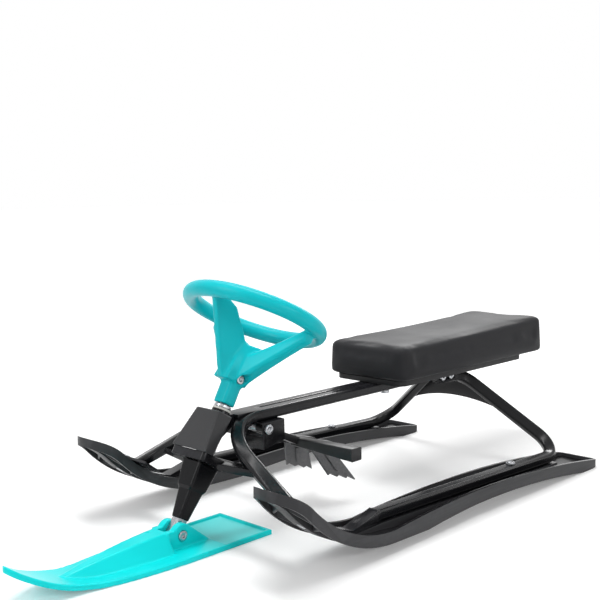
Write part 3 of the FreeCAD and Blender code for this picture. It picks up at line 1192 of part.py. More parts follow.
def pedal():
    """The left pedal: a hub on the cross bolt, an arm, a foot peg and a tail that carries the claw."""
    hub = rod("pedal_hub", S.hub_radius, (S.brake_x, S.hub_inner, S.brake_z), LEFT, S.hub_outer - S.hub_inner)
    half = S.arm_tall / 2
    corners = [(S.brake_x, S.brake_z - S.hub_radius * ARM_SHARE), (S.brake_x, S.brake_z + S.hub_radius * ARM_SHARE),
               (S.peg_x, S.peg_z + half), (S.peg_x, S.peg_z - half)]
    arm = prism("pedal_arm", "XZ", corners, S.hub_inner, S.hub_outer)

    def section(name, y, long, tall):
        corners, arcs = rounded(long / 2, tall / 2, S.hub_radius / 3, (S.peg_x, S.peg_z))
        return move(outline(name, corners, arcs, PLANES["XZ"]), ZERO, y)

    peg = loft("pedal_peg", [section("peg_root", S.hub_inner, S.peg_root_long, S.peg_root_tall),
                             section("peg_tip", S.peg_reach, S.peg_tip_long, S.peg_tip_tall)])
    tail = tail_strip("pedal_tail", ZERO, S.tail_long, -TAIL_HALF, TAIL_HALF, S.hub_inner, S.hub_outer)
    bore = rod("pedal_bore", S.bolt_wide / 2 + S.run_slack, (S.brake_x, ZERO, S.brake_z), LEFT, S.hub_outer * 2)
    return cut("left_brake_pedal", fuse("pedal_joined", hub, arm, peg, tail), bore, *claw_holes("pedal"))


def claw_holes(name):
    return [hole("%s_rivet_hole_%d" % (name, index), (x, CLAW_Y + S.overrun, z), RIGHT,
                 CLAW_Y + S.overrun, S.screw_wide)
            for index, (x, z) in enumerate(RIVET_PLACES)]


RIVET_PLACES = (on_tail(S.rivet_front, ZERO), on_tail(S.rivet_rear, ZERO))


def claw():
    """The left claw: a steel band on the pedal's tail and a ribbed, toothed blade that leans out below it."""
    band = tail_strip("claw_flange", S.claw_start, S.tail_long, TAIL_HALF - S.claw_band, TAIL_HALF + S.claw_lap,
                      S.hub_outer, CLAW_Y)
    fall, lean = math.radians(S.tail_fall.value), math.radians(S.claw_lean.value)
    back = V(-math.cos(fall), 0, -math.sin(fall))
    down = V(math.sin(fall) * math.cos(lean), math.sin(lean), -math.cos(fall) * math.cos(lean))
    turn = FreeCAD.Rotation(back, down, back.cross(down), "XYZ")
    fold = on_tail(S.claw_start, TAIL_HALF)
    leaves = []
    for name, shares, inward, outward in (("claw_blade", CLAW_SHARES, S.claw_thick, ZERO),
                                          ("claw_rib_bar", RIB_SHARES, S.claw_rib - S.claw_rib_out, S.claw_rib_out)):
        solid = doc.addObject("Part::Extrusion", name)
        solid.Base = outline(name + "_outline", [(S.claw_long * along, S.claw_deep * drop) for along, drop in shares])
        solid.DirMode = "Custom"
        solid.Dir = V(0, 0, 1)
        solid.Solid = True
        bind(solid, LengthFwd=inward, LengthRev=outward)
        leaves.append(solid)
    leant = doc.addObject("Part::Compound", "claw_leant")
    leant.Links = [fuse("claw_flat", *leaves)]
    leant.Placement = FreeCAD.Placement(V(0, 0, 0), turn)
    move(leant, fold[0], CLAW_Y, fold[1])
    return cut("left_brake_claw", fuse("claw_whole", band, leant), *claw_holes("claw"))


def claw_rivets():
    return group("left_claw_rivets", [rivet("claw_rivet_%d" % index, (x, CLAW_Y, z), RIGHT, CLAW_Y - S.hub_inner,
                                           S.screw_wide, S.screw_head, S.screw_head_tall / 2)
                                      for index, (x, z) in enumerate(RIVET_PLACES)])


def spring():
    """The left return spring, wound on the cross bolt beside the pedal's hub."""
    long = S.hub_inner - S.side_play * 2
    body = rod("spring_body", S.spring_radius, (S.brake_x, S.side_play, S.brake_z), LEFT, long)
    bore = rod("spring_bore", S.spring_radius - S.spring_wire, (S.brake_x, ZERO, S.brake_z), LEFT, S.hub_inner)
    return cut("left_brake_spring", body, bore)


left_pieces = {"left_brake_pedal": pedal(), "left_brake_claw": claw(), "left_claw_rivets": claw_rivets(),
               "left_brake_spring": spring()}
for label, piece in left_pieces.items():
    named(piece, label)
    mirrored(piece, label.replace("left", "right"))

NODES = ["left_front_tube", "right_front_tube", "left_rear_tube", "right_rear_tube", "head_block", "head_gusset",
         "head_tube", "brace_plate", "rear_arch_plate", "frame_bolts", "frame_nuts", "left_rear_ski",
         "right_rear_ski", "ski_bolts", "ski_nuts", "seat_board", "seat_cushion", "seat_bolts", "front_cover",
         "upper_steering_bush", "lower_steering_bush", "steering_shaft", "column_cone", "shaft_collar",
         "steering_wheel", "wheel_bolt", "wheel_nut", "front_ski", "ski_pivot_bolt", "ski_pivot_nut",
         "brake_bracket", "bracket_screws", "brake_pivot_bolt", "brake_pivot_nut", "left_brake_pedal",
         "right_brake_pedal", "left_brake_claw", "right_brake_claw", "left_claw_rivets", "right_claw_rivets",
         "left_brake_spring", "right_brake_spring"]


def write_parts():
    """Check every object and write each named piece."""
    doc.recompute()
    failed = [thing.Label for thing in doc.Objects if {"Invalid", "Error"} & set(thing.State)]
    pieces = {label: doc.getObjectsByLabel(label)[0] for label in NODES}
    broken = [label for label, piece in pieces.items()
              if piece.Shape.isNull() or not piece.Shape.isValid() or not piece.Shape.Solids]
    if failed or broken:
        raise RuntimeError("failed objects: %s; broken pieces: %s" % (failed, broken))
    os.makedirs("parts", exist_ok=True)
    for label, piece in pieces.items():
        piece.Shape.exportStep("parts/%s.step" % label)
        solids = len(piece.Shape.Solids)
        print("%-22s solids %d  volume %9.0f  %s" % (label, solids, piece.Shape.Volume, piece.Shape.BoundBox))


write_parts()
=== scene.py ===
"""Looks of the steering sled: finishes, soft moulded edges, a stuffed seat and a plain pale stage."""

import json
import math

import bmesh
import bpy
from bpy.props import FloatProperty, FloatVectorProperty, IntProperty, PointerProperty
from mathutils import Matrix, Vector


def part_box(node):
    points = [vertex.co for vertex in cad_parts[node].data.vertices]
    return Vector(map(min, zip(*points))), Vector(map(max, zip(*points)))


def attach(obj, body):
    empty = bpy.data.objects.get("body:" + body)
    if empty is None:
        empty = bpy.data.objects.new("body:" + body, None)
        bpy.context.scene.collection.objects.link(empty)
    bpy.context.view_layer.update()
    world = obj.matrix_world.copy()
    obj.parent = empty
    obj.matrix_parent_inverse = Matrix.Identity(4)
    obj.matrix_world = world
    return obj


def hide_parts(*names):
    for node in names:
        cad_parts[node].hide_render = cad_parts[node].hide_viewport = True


bl_info = {
    "name": "Steering sled looks",
    "version": (1, 0, 0),
    "blender": (4, 5, 0),
    "location": "View3D > Sidebar > Sled",
    "description": "Dresses the packed steering sled and sets it on a pale stage",
    "category": "Object",
}

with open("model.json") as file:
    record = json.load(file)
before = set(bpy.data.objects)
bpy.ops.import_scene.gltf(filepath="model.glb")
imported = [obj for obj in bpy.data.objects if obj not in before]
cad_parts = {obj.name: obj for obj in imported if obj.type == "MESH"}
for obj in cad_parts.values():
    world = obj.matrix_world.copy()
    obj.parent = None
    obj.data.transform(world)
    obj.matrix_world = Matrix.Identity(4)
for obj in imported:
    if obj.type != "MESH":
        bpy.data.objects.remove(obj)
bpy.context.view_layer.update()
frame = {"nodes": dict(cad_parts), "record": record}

RECORD = frame["record"]
BODY_OF = {node: body for body, nodes in RECORD["behaviour"]["bodies"].items() for node in nodes}

TUBES = ("left_front_tube", "right_front_tube", "left_rear_tube", "right_rear_tube")
PLATES = ("head_block", "head_gusset", "head_tube", "brace_plate", "rear_arch_plate", "brake_bracket")
FASTENERS = (
    "frame_bolts", "frame_nuts", "ski_bolts", "ski_nuts", "seat_bolts", "wheel_bolt", "wheel_nut",
    "ski_pivot_bolt", "ski_pivot_nut", "bracket_screws", "brake_pivot_bolt", "brake_pivot_nut",
    "left_claw_rivets", "right_claw_rivets", "shaft_collar", "steering_shaft",
)
BUSHES = ("upper_steering_bush", "lower_steering_bush")
SPRINGS = ("left_brake_spring", "right_brake_spring")
PEDALS = ("left_brake_pedal", "right_brake_pedal")
CLAWS = ("left_brake_claw", "right_brake_claw")

# Degrees between two faces from which their edge counts as sharp
SHARP = 32


def colour(label, default, words):
    """A colour that a user may change."""
    return FloatVectorProperty(
        name=label, description=words, subtype="COLOR", size=3, min=0.0, max=1.0, default=default
    )


def length(label, default, words):
    """A length in metres that a user may change."""
    return FloatProperty(name=label, description=words, unit="LENGTH", min=0.0, default=default, precision=4)


def whole(label, default, words, least=0):
    """A whole number that a user may change."""
    return IntProperty(name=label, description=words, min=least, default=default)


def number(label, default, words):
    """A number that a user may change."""
    return FloatProperty(name=label, description=words, min=0.0, default=default)


def bearing(label, degrees, words):
    """An angle that a user may change."""
    return FloatProperty(name=label, description=words, subtype="ANGLE", default=math.radians(degrees))


class SledColours(bpy.types.PropertyGroup):
    """Base colours of the sled's finishes."""

    wheel: colour("Wheel", (0.002, 0.46, 0.51), "Turquoise of the steering wheel")
    front_ski: colour("Front ski", (0.002, 0.68, 0.69), "Turquoise of the front ski")
    # Painted light: the level faces of the front ski's rear pad are painted paler, lifting the shade on them.
    front_pad_painted_light: colour("Front pad", (0.12, 0.84, 0.84), "Paler turquoise of the front ski's rear pad")
    paint: colour("Paint", (0.006, 0.006, 0.007), "Black paint of the tubes and plates")
    ski_wall: colour("Ski wall", (0.026, 0.026, 0.028), "Charcoal of the rear skis' walls")
    ski_pan: colour("Ski pan", (0.006, 0.006, 0.007), "Black of the rear skis' polished pans")
    cover: colour("Cover", (0.030, 0.030, 0.032), "Charcoal of the front cover")
    cone: colour("Cone", (0.004, 0.004, 0.005), "Black of the column cone")
    seat: colour("Seat", (0.020, 0.020, 0.022), "Black of the seat's vinyl")
    board: colour("Seat board", (0.012, 0.012, 0.013), "Black of the board under the seat")
    pedal: colour("Pedal", (0.012, 0.012, 0.013), "Black of the brake pedals")
    claw: colour("Claw", (0.040, 0.040, 0.042), "Dark grey of the brake claws")
    zinc: colour("Zinc", (0.44, 0.45, 0.47), "Zinc plate of the bolts, nuts and shaft")
    bush: colour("Bush", (0.62, 0.61, 0.57), "Natural nylon of the steering bushes")


class SledSizes(bpy.types.PropertyGroup):
    """Sizes of the soft edges, the stuffing and the springs."""

    wheel_voxel: length("Wheel voxel", 0.0016, "Grain at which the wheel's fins are blended")
    wheel_passes: whole("Wheel passes", 10, "Smoothing passes on the wheel")
    ski_voxel: length("Ski voxel", 0.0014, "Grain at which the front ski is blended")
    ski_passes: whole("Ski passes", 6, "Smoothing passes on the front ski")
    runner_edge: length("Runner edge", 0.0012, "Rounding on the edges of the rear skis")
    column_voxel: length("Column voxel", 0.0009, "Grain at which the cover and the cone are blended")
    cover_passes: whole("Cover passes", 20, "Smoothing passes on the cover")
    cone_passes: whole("Cone passes", 5, "Smoothing passes on the cone")
    plate_edge: length("Plate edge", 0.0008, "Rounding on the edges of the plates")
    bolt_edge: length("Bolt edge", 0.0010, "Rounding on the bolt heads")
    pedal_edge: length("Pedal edge", 0.0016, "Rounding on the brake pedals")
    claw_edge: length("Claw edge", 0.0004, "Rounding on the brake claws")
    seat_voxel: length("Seat voxel", 0.0045, "Grain at which the seat is stuffed")
    seat_corner: length("Seat corner", 0.016, "Rounding on the upright corners of the seat")
    seat_edge: length("Seat edge", 0.006, "Rounding on the top and bottom edges of the seat")
    seat_fall_front: length("Seat fall front", 0.015, "Drop of the seat's top below its box at the front")
    seat_fall_rear: length("Seat fall rear", 0.003, "Drop of the seat's top below its box at the rear")
    seat_tuck: length("Seat tuck", 0.0020, "How far the seat is drawn in before stuffing")
    seat_cap: length("Seat cap", 0.0030, "Most that the stuffing moves a point")
    seat_pressure: number("Seat pressure", 4.0, "Pressure of the stuffing")
    seat_stretch: number("Seat stretch", 40.0, "Stiffness of the seat's cover against stretch")
    seat_fold: number("Seat fold", 4.0, "Stiffness of the seat's cover against folds")
    seat_steps: whole("Seat steps", 20, "Steps of the stuffing", least=1)
    seat_passes: whole("Seat passes", 4, "Smoothing passes on the stuffed seat")
    spring_turns: whole("Spring turns", 6, "Turns of each brake spring", least=1)
    spring_wire: length("Spring wire", 0.0016, "Wire of the brake springs")


class SledStage(bpy.types.PropertyGroup):
    """Camera and light of the stage."""

    lens: FloatProperty(
        name="Lens", description="Focal length", subtype="DISTANCE_CAMERA", default=58.97, min=1.0
    )
    eye: FloatVectorProperty(
        name="Eye", description="Place of the camera", subtype="TRANSLATION", default=(1.1405, 1.093, 0.507)
    )
    yaw: bearing("Yaw", 44.58, "Turn from looking along -X")
    pitch: bearing("Pitch", 6.21, "Tilt down")
    roll: bearing("Roll", 1.0, "Roll of the camera")
    ambient: number("Ambient", 0.42, "Strength of the pale room")
    floor: colour("Floor", (0.86, 0.86, 0.86), "Pale floor")
    floor_near: number("Floor near", 0.16, "Glow of the floor in view by the sled")
    floor_far: number("Floor far", 0.60, "Glow of the floor in view far off")
    floor_reach: length("Floor reach", 2.4, "Distance at which the floor's far glow is full")


CLASSES = [SledColours, SledSizes, SledStage]


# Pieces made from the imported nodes


def copied(node):
    """A new piece with a copy of a node's mesh, its doubled points welded."""
    source = frame["nodes"][node]
    piece = bpy.data.objects.new(node + "_dressed", source.data.copy())
    bpy.context.scene.collection.objects.link(piece)
    weld = 2e-6
    sheet = bmesh.new()
    sheet.from_mesh(piece.data)
    bmesh.ops.remove_doubles(sheet, verts=sheet.verts, dist=weld)
    sheet.to_mesh(piece.data)
    sheet.free()
    return piece


def settled(piece):
    """The piece with its modifiers applied to its mesh."""
    deps = bpy.context.evaluated_depsgraph_get()
    mesh = bpy.data.meshes.new_from_object(piece.evaluated_get(deps))
    old = piece.data
    piece.modifiers.clear()
    piece.data = mesh
    bpy.data.meshes.remove(old)
    return piece


def smoothed(piece):
    """Smooth shading, with sharp edges kept."""
    piece.data.shade_smooth()
    piece.data.set_sharp_from_angle(angle=math.radians(SHARP))
    return piece


def stand_in(piece, node, finish):
    """The piece shows in place of a node, on its body and in a finish."""
    piece.data.materials.clear()
    piece.data.materials.append(finish)
    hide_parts(node)
    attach(piece, BODY_OF[node])
    return piece


def softened(node, edge, finish):
    """A copy of a node with its sharp edges rounded."""
    piece = copied(node)
    flat = math.radians(0.5)
    sheet = bmesh.new()
    sheet.from_mesh(piece.data)
    bmesh.ops.dissolve_limit(sheet, angle_limit=flat, verts=sheet.verts, edges=sheet.edges)
    sheet.to_mesh(piece.data)
    sheet.free()
    bevel = piece.modifiers.new("edges", "BEVEL")
    bevel.width = edge
    bevel.segments = 3
    bevel.limit_method = "ANGLE"
    bevel.angle_limit = math.radians(SHARP)
    bevel.use_clamp_overlap = True
    settled(piece)
    return stand_in(smoothed(piece), node, finish)


def moulded(node, voxel, passes, finish):
    """A copy of a node with its edges and corners blended, as in one moulding."""
    piece = copied(node)
    blend = piece.modifiers.new("blend", "REMESH")
    blend.mode = "VOXEL"
    blend.voxel_size = voxel
    soften = piece.modifiers.new("soften", "SMOOTH")
    soften.factor = 0.5
    soften.iterations = passes
    thin = piece.modifiers.new("thin", "DECIMATE")
    thin.ratio = 0.4
    settled(piece)
    piece.data.shade_smooth()
    return stand_in(piece, node, finish)


# Shader graphs


def put(tree, kind, links=None, **settings):
    """A new node with its settings, and its inputs set or linked."""
    node = tree.nodes.new(kind)
    for name, value in settings.items():
        setattr(node, name, value)
    for name, value in (links or {}).items():
        socket = node.inputs[name]
        if isinstance(value, bpy.types.NodeSocket):
            tree.links.new(value, socket)
        else:
            socket.default_value = value
    return node


def new_group(name, inputs, outputs):
    """An empty shader group with named float inputs and outputs."""
    tree = bpy.data.node_groups.new(name, "ShaderNodeTree")
    for label, value in inputs.items():
        socket = tree.interface.new_socket(name=label, in_out="INPUT", socket_type="NodeSocketFloat")
        socket.default_value = value
    for label in outputs:
        tree.interface.new_socket(name=label, in_out="OUTPUT", socket_type="NodeSocketFloat")
    return tree, put(tree, "NodeGroupInput").outputs, put(tree, "NodeGroupOutput").inputs


def grain_group():
    """Fine spark grain of a moulding, with a slow drift in tone."""
    tree, given, result = new_group("Moulding grain", {"Scale": 900.0, "Drift": 14.0}, ("Height", "Tone"))
    where = put(tree, "ShaderNodeTexCoord").outputs["Object"]
    fine = put(
        tree, "ShaderNodeTexNoise",
        {"Vector": where, "Scale": given["Scale"], "Detail": 3.0, "Roughness": 0.6},
    )
    slow = put(tree, "ShaderNodeTexNoise", {"Vector": where, "Scale": given["Drift"], "Detail": 2.0})
    tree.links.new(fine.outputs["Fac"], result["Height"])
    tree.links.new(slow.outputs["Fac"], result["Tone"])
    return tree


def edge_highlight_group():
    """Painted highlight: a mask on exposed edges, broken up, along which edges are painted paler."""
    tree, given, result = new_group("Painted edge highlight", {"Start": 0.52, "End": 0.60, "Breakup": 120.0}, ("Mask",))
    edge = put(tree, "ShaderNodeNewGeometry").outputs["Pointiness"]
    reach = put(
        tree, "ShaderNodeMapRange", {"Value": edge, "From Min": given["Start"], "From Max": given["End"]}
    ).outputs["Result"]
    where = put(tree, "ShaderNodeTexCoord").outputs["Object"]
    broken = put(tree, "ShaderNodeTexNoise", {"Vector": where, "Scale": given["Breakup"], "Detail": 4.0})
    mask = put(tree, "ShaderNodeMath", {0: reach, 1: broken.outputs["Fac"]}, operation="MULTIPLY")
    tree.links.new(mask.outputs["Value"], result["Mask"])
    return tree


def streak_group():
    """Fine lines along one way, as from drawing, brushing or sliding on snow."""
    tree, given, result = new_group("Fine streaks", {"Along": 12.0, "Across": 700.0}, ("Height",))
    where = put(tree, "ShaderNodeTexCoord").outputs["Object"]
    along, across = given["Along"], given["Across"]
    stretch = put(tree, "ShaderNodeCombineXYZ", {"X": along, "Y": across, "Z": across})
    drawn = put(tree, "ShaderNodeVectorMath", {0: where, 1: stretch.outputs["Vector"]}, operation="MULTIPLY")
    lines = put(tree, "ShaderNodeTexNoise", {"Vector": drawn.outputs["Vector"], "Scale": 1.0, "Detail": 3.0})
    tree.links.new(lines.outputs["Fac"], result["Height"])
    return tree


GROUP_MAKERS = {"Moulding grain": grain_group, "Painted edge highlight": edge_highlight_group, "Fine streaks": streak_group}


def group(tree, name, **values):
    """A shared group, built once, placed with its own values."""
    shared = bpy.data.node_groups.get(name) or GROUP_MAKERS[name]()
    node = put(tree, "ShaderNodeGroup", node_tree=shared)
    for label, value in values.items():
        node.inputs[label].default_value = value
    return node.outputs


def new_finish(name, **sockets):
    """A material, its tree and its shader, with the values that hold all over."""
    finish = bpy.data.materials.new(name)
    finish.use_nodes = True
    tree = finish.node_tree
    shader = tree.nodes["Principled BSDF"]
    for label, value in sockets.items():
        shader.inputs[label.replace("_", " ").title().replace("Ior", "IOR")].default_value = value
    return finish, tree, shader


def shade(base, factor):
    """A colour made darker or lighter, as an opaque colour."""
    return (*[min(1.0, part * factor) for part in base], 1.0)


def mixed(tree, share, low, high):
    """A colour between two, by a share."""
    node = put(tree, "ShaderNodeMix", data_type="RGBA")
    tree.links.new(share, node.inputs["Factor"])
    colours = [s for s in node.inputs if s.type == "RGBA"]
    for socket, value in zip(colours, (low, high)):
        if isinstance(value, bpy.types.NodeSocket):
            tree.links.new(value, socket)
        else:
            socket.default_value = value
    return next(s for s in node.outputs if s.type == "RGBA")


def ranged(tree, value, low, high, start=0.3, end=0.7):
    """A number between two, as a value goes from a start to an end."""
    return put(
        tree, "ShaderNodeMapRange",
        {"Value": value, "From Min": start, "From Max": end, "To Min": low, "To Max": high},
    ).outputs["Result"]


def bumped(tree, shader, height, strength, distance):
    """A bump from a height, on the shader's normal."""
    bump = put(tree, "ShaderNodeBump", {"Height": height, "Strength": strength, "Distance": distance})
    tree.links.new(bump.outputs["Normal"], shader.inputs["Normal"])


def plastic(name, base, rough, grain, depth, shine=0.5, edge=1.35, pad=None):
    """A moulded plastic with spark grain, drifting tone, edges painted paler as painted highlight and perhaps
    a low pad painted paler as painted light.
    """
    finish, tree, shader = new_finish(name, specular_ior_level=shine)
    skin = group(tree, "Moulding grain", Scale=grain)
    edge_light = group(tree, "Painted edge highlight")
    body = mixed(tree, skin["Tone"], shade(base, 0.90), shade(base, 1.10))
    if pad:
        # The low level faces of the pad painted paler: painted light.
        body = mixed(tree, pad_light_share(tree), body, shade(pad, 1.0))
    # Edges painted paler by the edge factor: painted highlight.
    tree.links.new(mixed(tree, edge_light["Mask"], body, shade(base, edge)), shader.inputs["Base Color"])
    tree.links.new(ranged(tree, skin["Tone"], rough * 0.85, rough * 1.15), shader.inputs["Roughness"])
    bumped(tree, shader, skin["Height"], 0.25, depth)
    return finish


def pad_light_share(tree):
    """A share that is 1 on level faces a few millimetres above the ground, as in the front ski's rear pad,
    where painted light goes.
    """
    height = put(tree, "ShaderNodeTexCoord").outputs["Object"]
    height = put(tree, "ShaderNodeSeparateXYZ", {"Vector": height}).outputs["Z"]
    up = put(tree, "ShaderNodeNewGeometry").outputs["Normal"]
    up = put(tree, "ShaderNodeSeparateXYZ", {"Vector": up}).outputs["Z"]
    low = ranged(tree, height, 1.0, 0.0, 0.0050, 0.0066)
    level = ranged(tree, up, 0.0, 1.0, 0.60, 0.90)
    return put(tree, "ShaderNodeMath", {0: low, 1: level}, operation="MULTIPLY").outputs["Value"]


def paint_finish(base):
    """Gloss black paint on steel, with orange peel and paler edges, partly thin paint and partly painted
    highlight.
    """
    finish, tree, shader = new_finish("Gloss black paint", specular_ior_level=0.20)
    peel = group(tree, "Moulding grain", Scale=420.0, Drift=22.0)
    edge_light = group(tree, "Painted edge highlight", Breakup=220.0)
    body = mixed(tree, peel["Tone"], shade(base, 0.8), shade(base, 1.3))
    # Edges painted four times lighter: thin paint and painted highlight.
    tree.links.new(mixed(tree, edge_light["Mask"], body, shade(base, 4.0)), shader.inputs["Base Color"])
    tree.links.new(ranged(tree, peel["Tone"], 0.16, 0.26), shader.inputs["Roughness"])
    bumped(tree, shader, peel["Height"], 0.12, 0.0002)
    return finish


def zinc_finish(base):
    """Bright zinc plate with fine turning lines, made once."""
    made = bpy.data.materials.get("Bright zinc plate")
    if made:
        return made
    finish, tree, shader = new_finish("Bright zinc plate", metallic=1.0)
    lines = group(tree, "Fine streaks", Along=300.0, Across=2400.0)
    cloud = group(tree, "Moulding grain", Scale=1500.0, Drift=160.0)
    body = mixed(tree, cloud["Tone"], shade(base, 0.82), shade(base, 1.08))
    tree.links.new(body, shader.inputs["Base Color"])
    tree.links.new(ranged(tree, cloud["Tone"], 0.18, 0.34), shader.inputs["Roughness"])
    bumped(tree, shader, lines["Height"], 0.10, 0.0001)
    return finish


def runner_finish(wall, pan):
    """Rear ski moulding: satin walls with slide lines, and a polished pan."""
    finish, tree, shader = new_finish("Charcoal runner", specular_ior_level=0.24)
    skin = group(tree, "Moulding grain", Scale=700.0)
    lines = group(tree, "Fine streaks", Along=5.0, Across=420.0)
    edge_light = group(tree, "Painted edge highlight")
    normal = put(tree, "ShaderNodeNewGeometry").outputs["Normal"]
    up = put(tree, "ShaderNodeSeparateXYZ", {"Vector": normal}).outputs["Z"]
    level = ranged(tree, up, 0.0, 1.0, 0.35, 0.75)
    side = mixed(tree, skin["Tone"], shade(wall, 0.9), shade(wall, 1.12))
    # Wall edges painted paler: painted highlight.
    side = mixed(tree, edge_light["Mask"], side, shade(wall, 1.8))
    tree.links.new(mixed(tree, level, side, shade(pan, 1.0)), shader.inputs["Base Color"])
    matt = ranged(tree, lines["Height"], 0.36, 0.50)
    gloss = ranged(tree, skin["Tone"], 0.10, 0.20)
    rough = put(tree, "ShaderNodeMix", {"Factor": level, "A": matt, "B": gloss}, data_type="FLOAT")
    tree.links.new(rough.outputs["Result"], shader.inputs["Roughness"])
    height = put(tree, "ShaderNodeMath", {0: skin["Height"], 1: lines["Height"]}, operation="ADD")
    bumped(tree, shader, height.outputs["Value"], 0.10, 0.0002)
    return finish


def vinyl_finish(base):
    """Matte seat vinyl with a pebble grain."""
    finish, tree, shader = new_finish(
        "Matte black vinyl", specular_ior_level=0.10, sheen_weight=0.03, sheen_roughness=0.5
    )
    where = put(tree, "ShaderNodeTexCoord").outputs["Object"]
    pebble = put(
        tree, "ShaderNodeTexVoronoi", {"Vector": where, "Scale": 620.0, "Randomness": 1.0},
        feature="SMOOTH_F1",
    ).outputs["Distance"]
    skin = group(tree, "Moulding grain", Scale=1600.0, Drift=9.0)
    edge_light = group(tree, "Painted edge highlight", Start=0.505, End=0.56)
    body = mixed(tree, skin["Tone"], shade(base, 0.86), shade(base, 1.14))
    # Seat edges painted paler: painted highlight.
    tree.links.new(mixed(tree, edge_light["Mask"], body, shade(base, 1.4)), shader.inputs["Base Color"])
    tree.links.new(ranged(tree, skin["Tone"], 0.48, 0.60), shader.inputs["Roughness"])
    height = put(tree, "ShaderNodeMath", {0: pebble, 1: skin["Height"]}, operation="ADD")
    bumped(tree, shader, height.outputs["Value"], 0.30, 0.0003)
    return finish


def claw_finish(base):
    """Dark grey steel plate, rolled, its edges and teeth painted paler as painted highlight."""
    finish, tree, shader = new_finish("Grey claw plate", metallic=0.35)
    lines = group(tree, "Fine streaks", Along=30.0, Across=900.0)
    edge_light = group(tree, "Painted edge highlight", Breakup=300.0)
    body = mixed(tree, lines["Height"], shade(base, 0.75), shade(base, 1.3))
    # Edges and teeth painted three times lighter: painted highlight.
    tree.links.new(mixed(tree, edge_light["Mask"], body, shade(base, 3.0)), shader.inputs["Base Color"])
    tree.links.new(ranged(tree, lines["Height"], 0.34, 0.50), shader.inputs["Roughness"])
    bumped(tree, shader, lines["Height"], 0.15, 0.0002)
    return finish


def seen_rays(tree):
    """A share that is 1 for what the camera sees, straight, mirrored or through glass."""
    ray = put(tree, "ShaderNodeLightPath").outputs
    mirrored = put(
        tree, "ShaderNodeMath", {0: ray["Is Glossy Ray"], 1: ray["Is Transmission Ray"]}, operation="MAXIMUM"
    )
    seen = put(
        tree, "ShaderNodeMath", {0: ray["Is Camera Ray"], 1: mirrored.outputs["Value"]}, operation="MAXIMUM"
    )
    return seen.outputs["Value"]


# Operators


class SledOperator(bpy.types.Operator):
    """Base of the sled's operators."""

    bl_idname = "sled.base"
    bl_label = "Sled base"
    bl_options = {"REGISTER", "UNDO"}

    @property
    def colours(self):
        return bpy.context.scene.sled_colours

    @property
    def sizes(self):
        return bpy.context.scene.sled_sizes


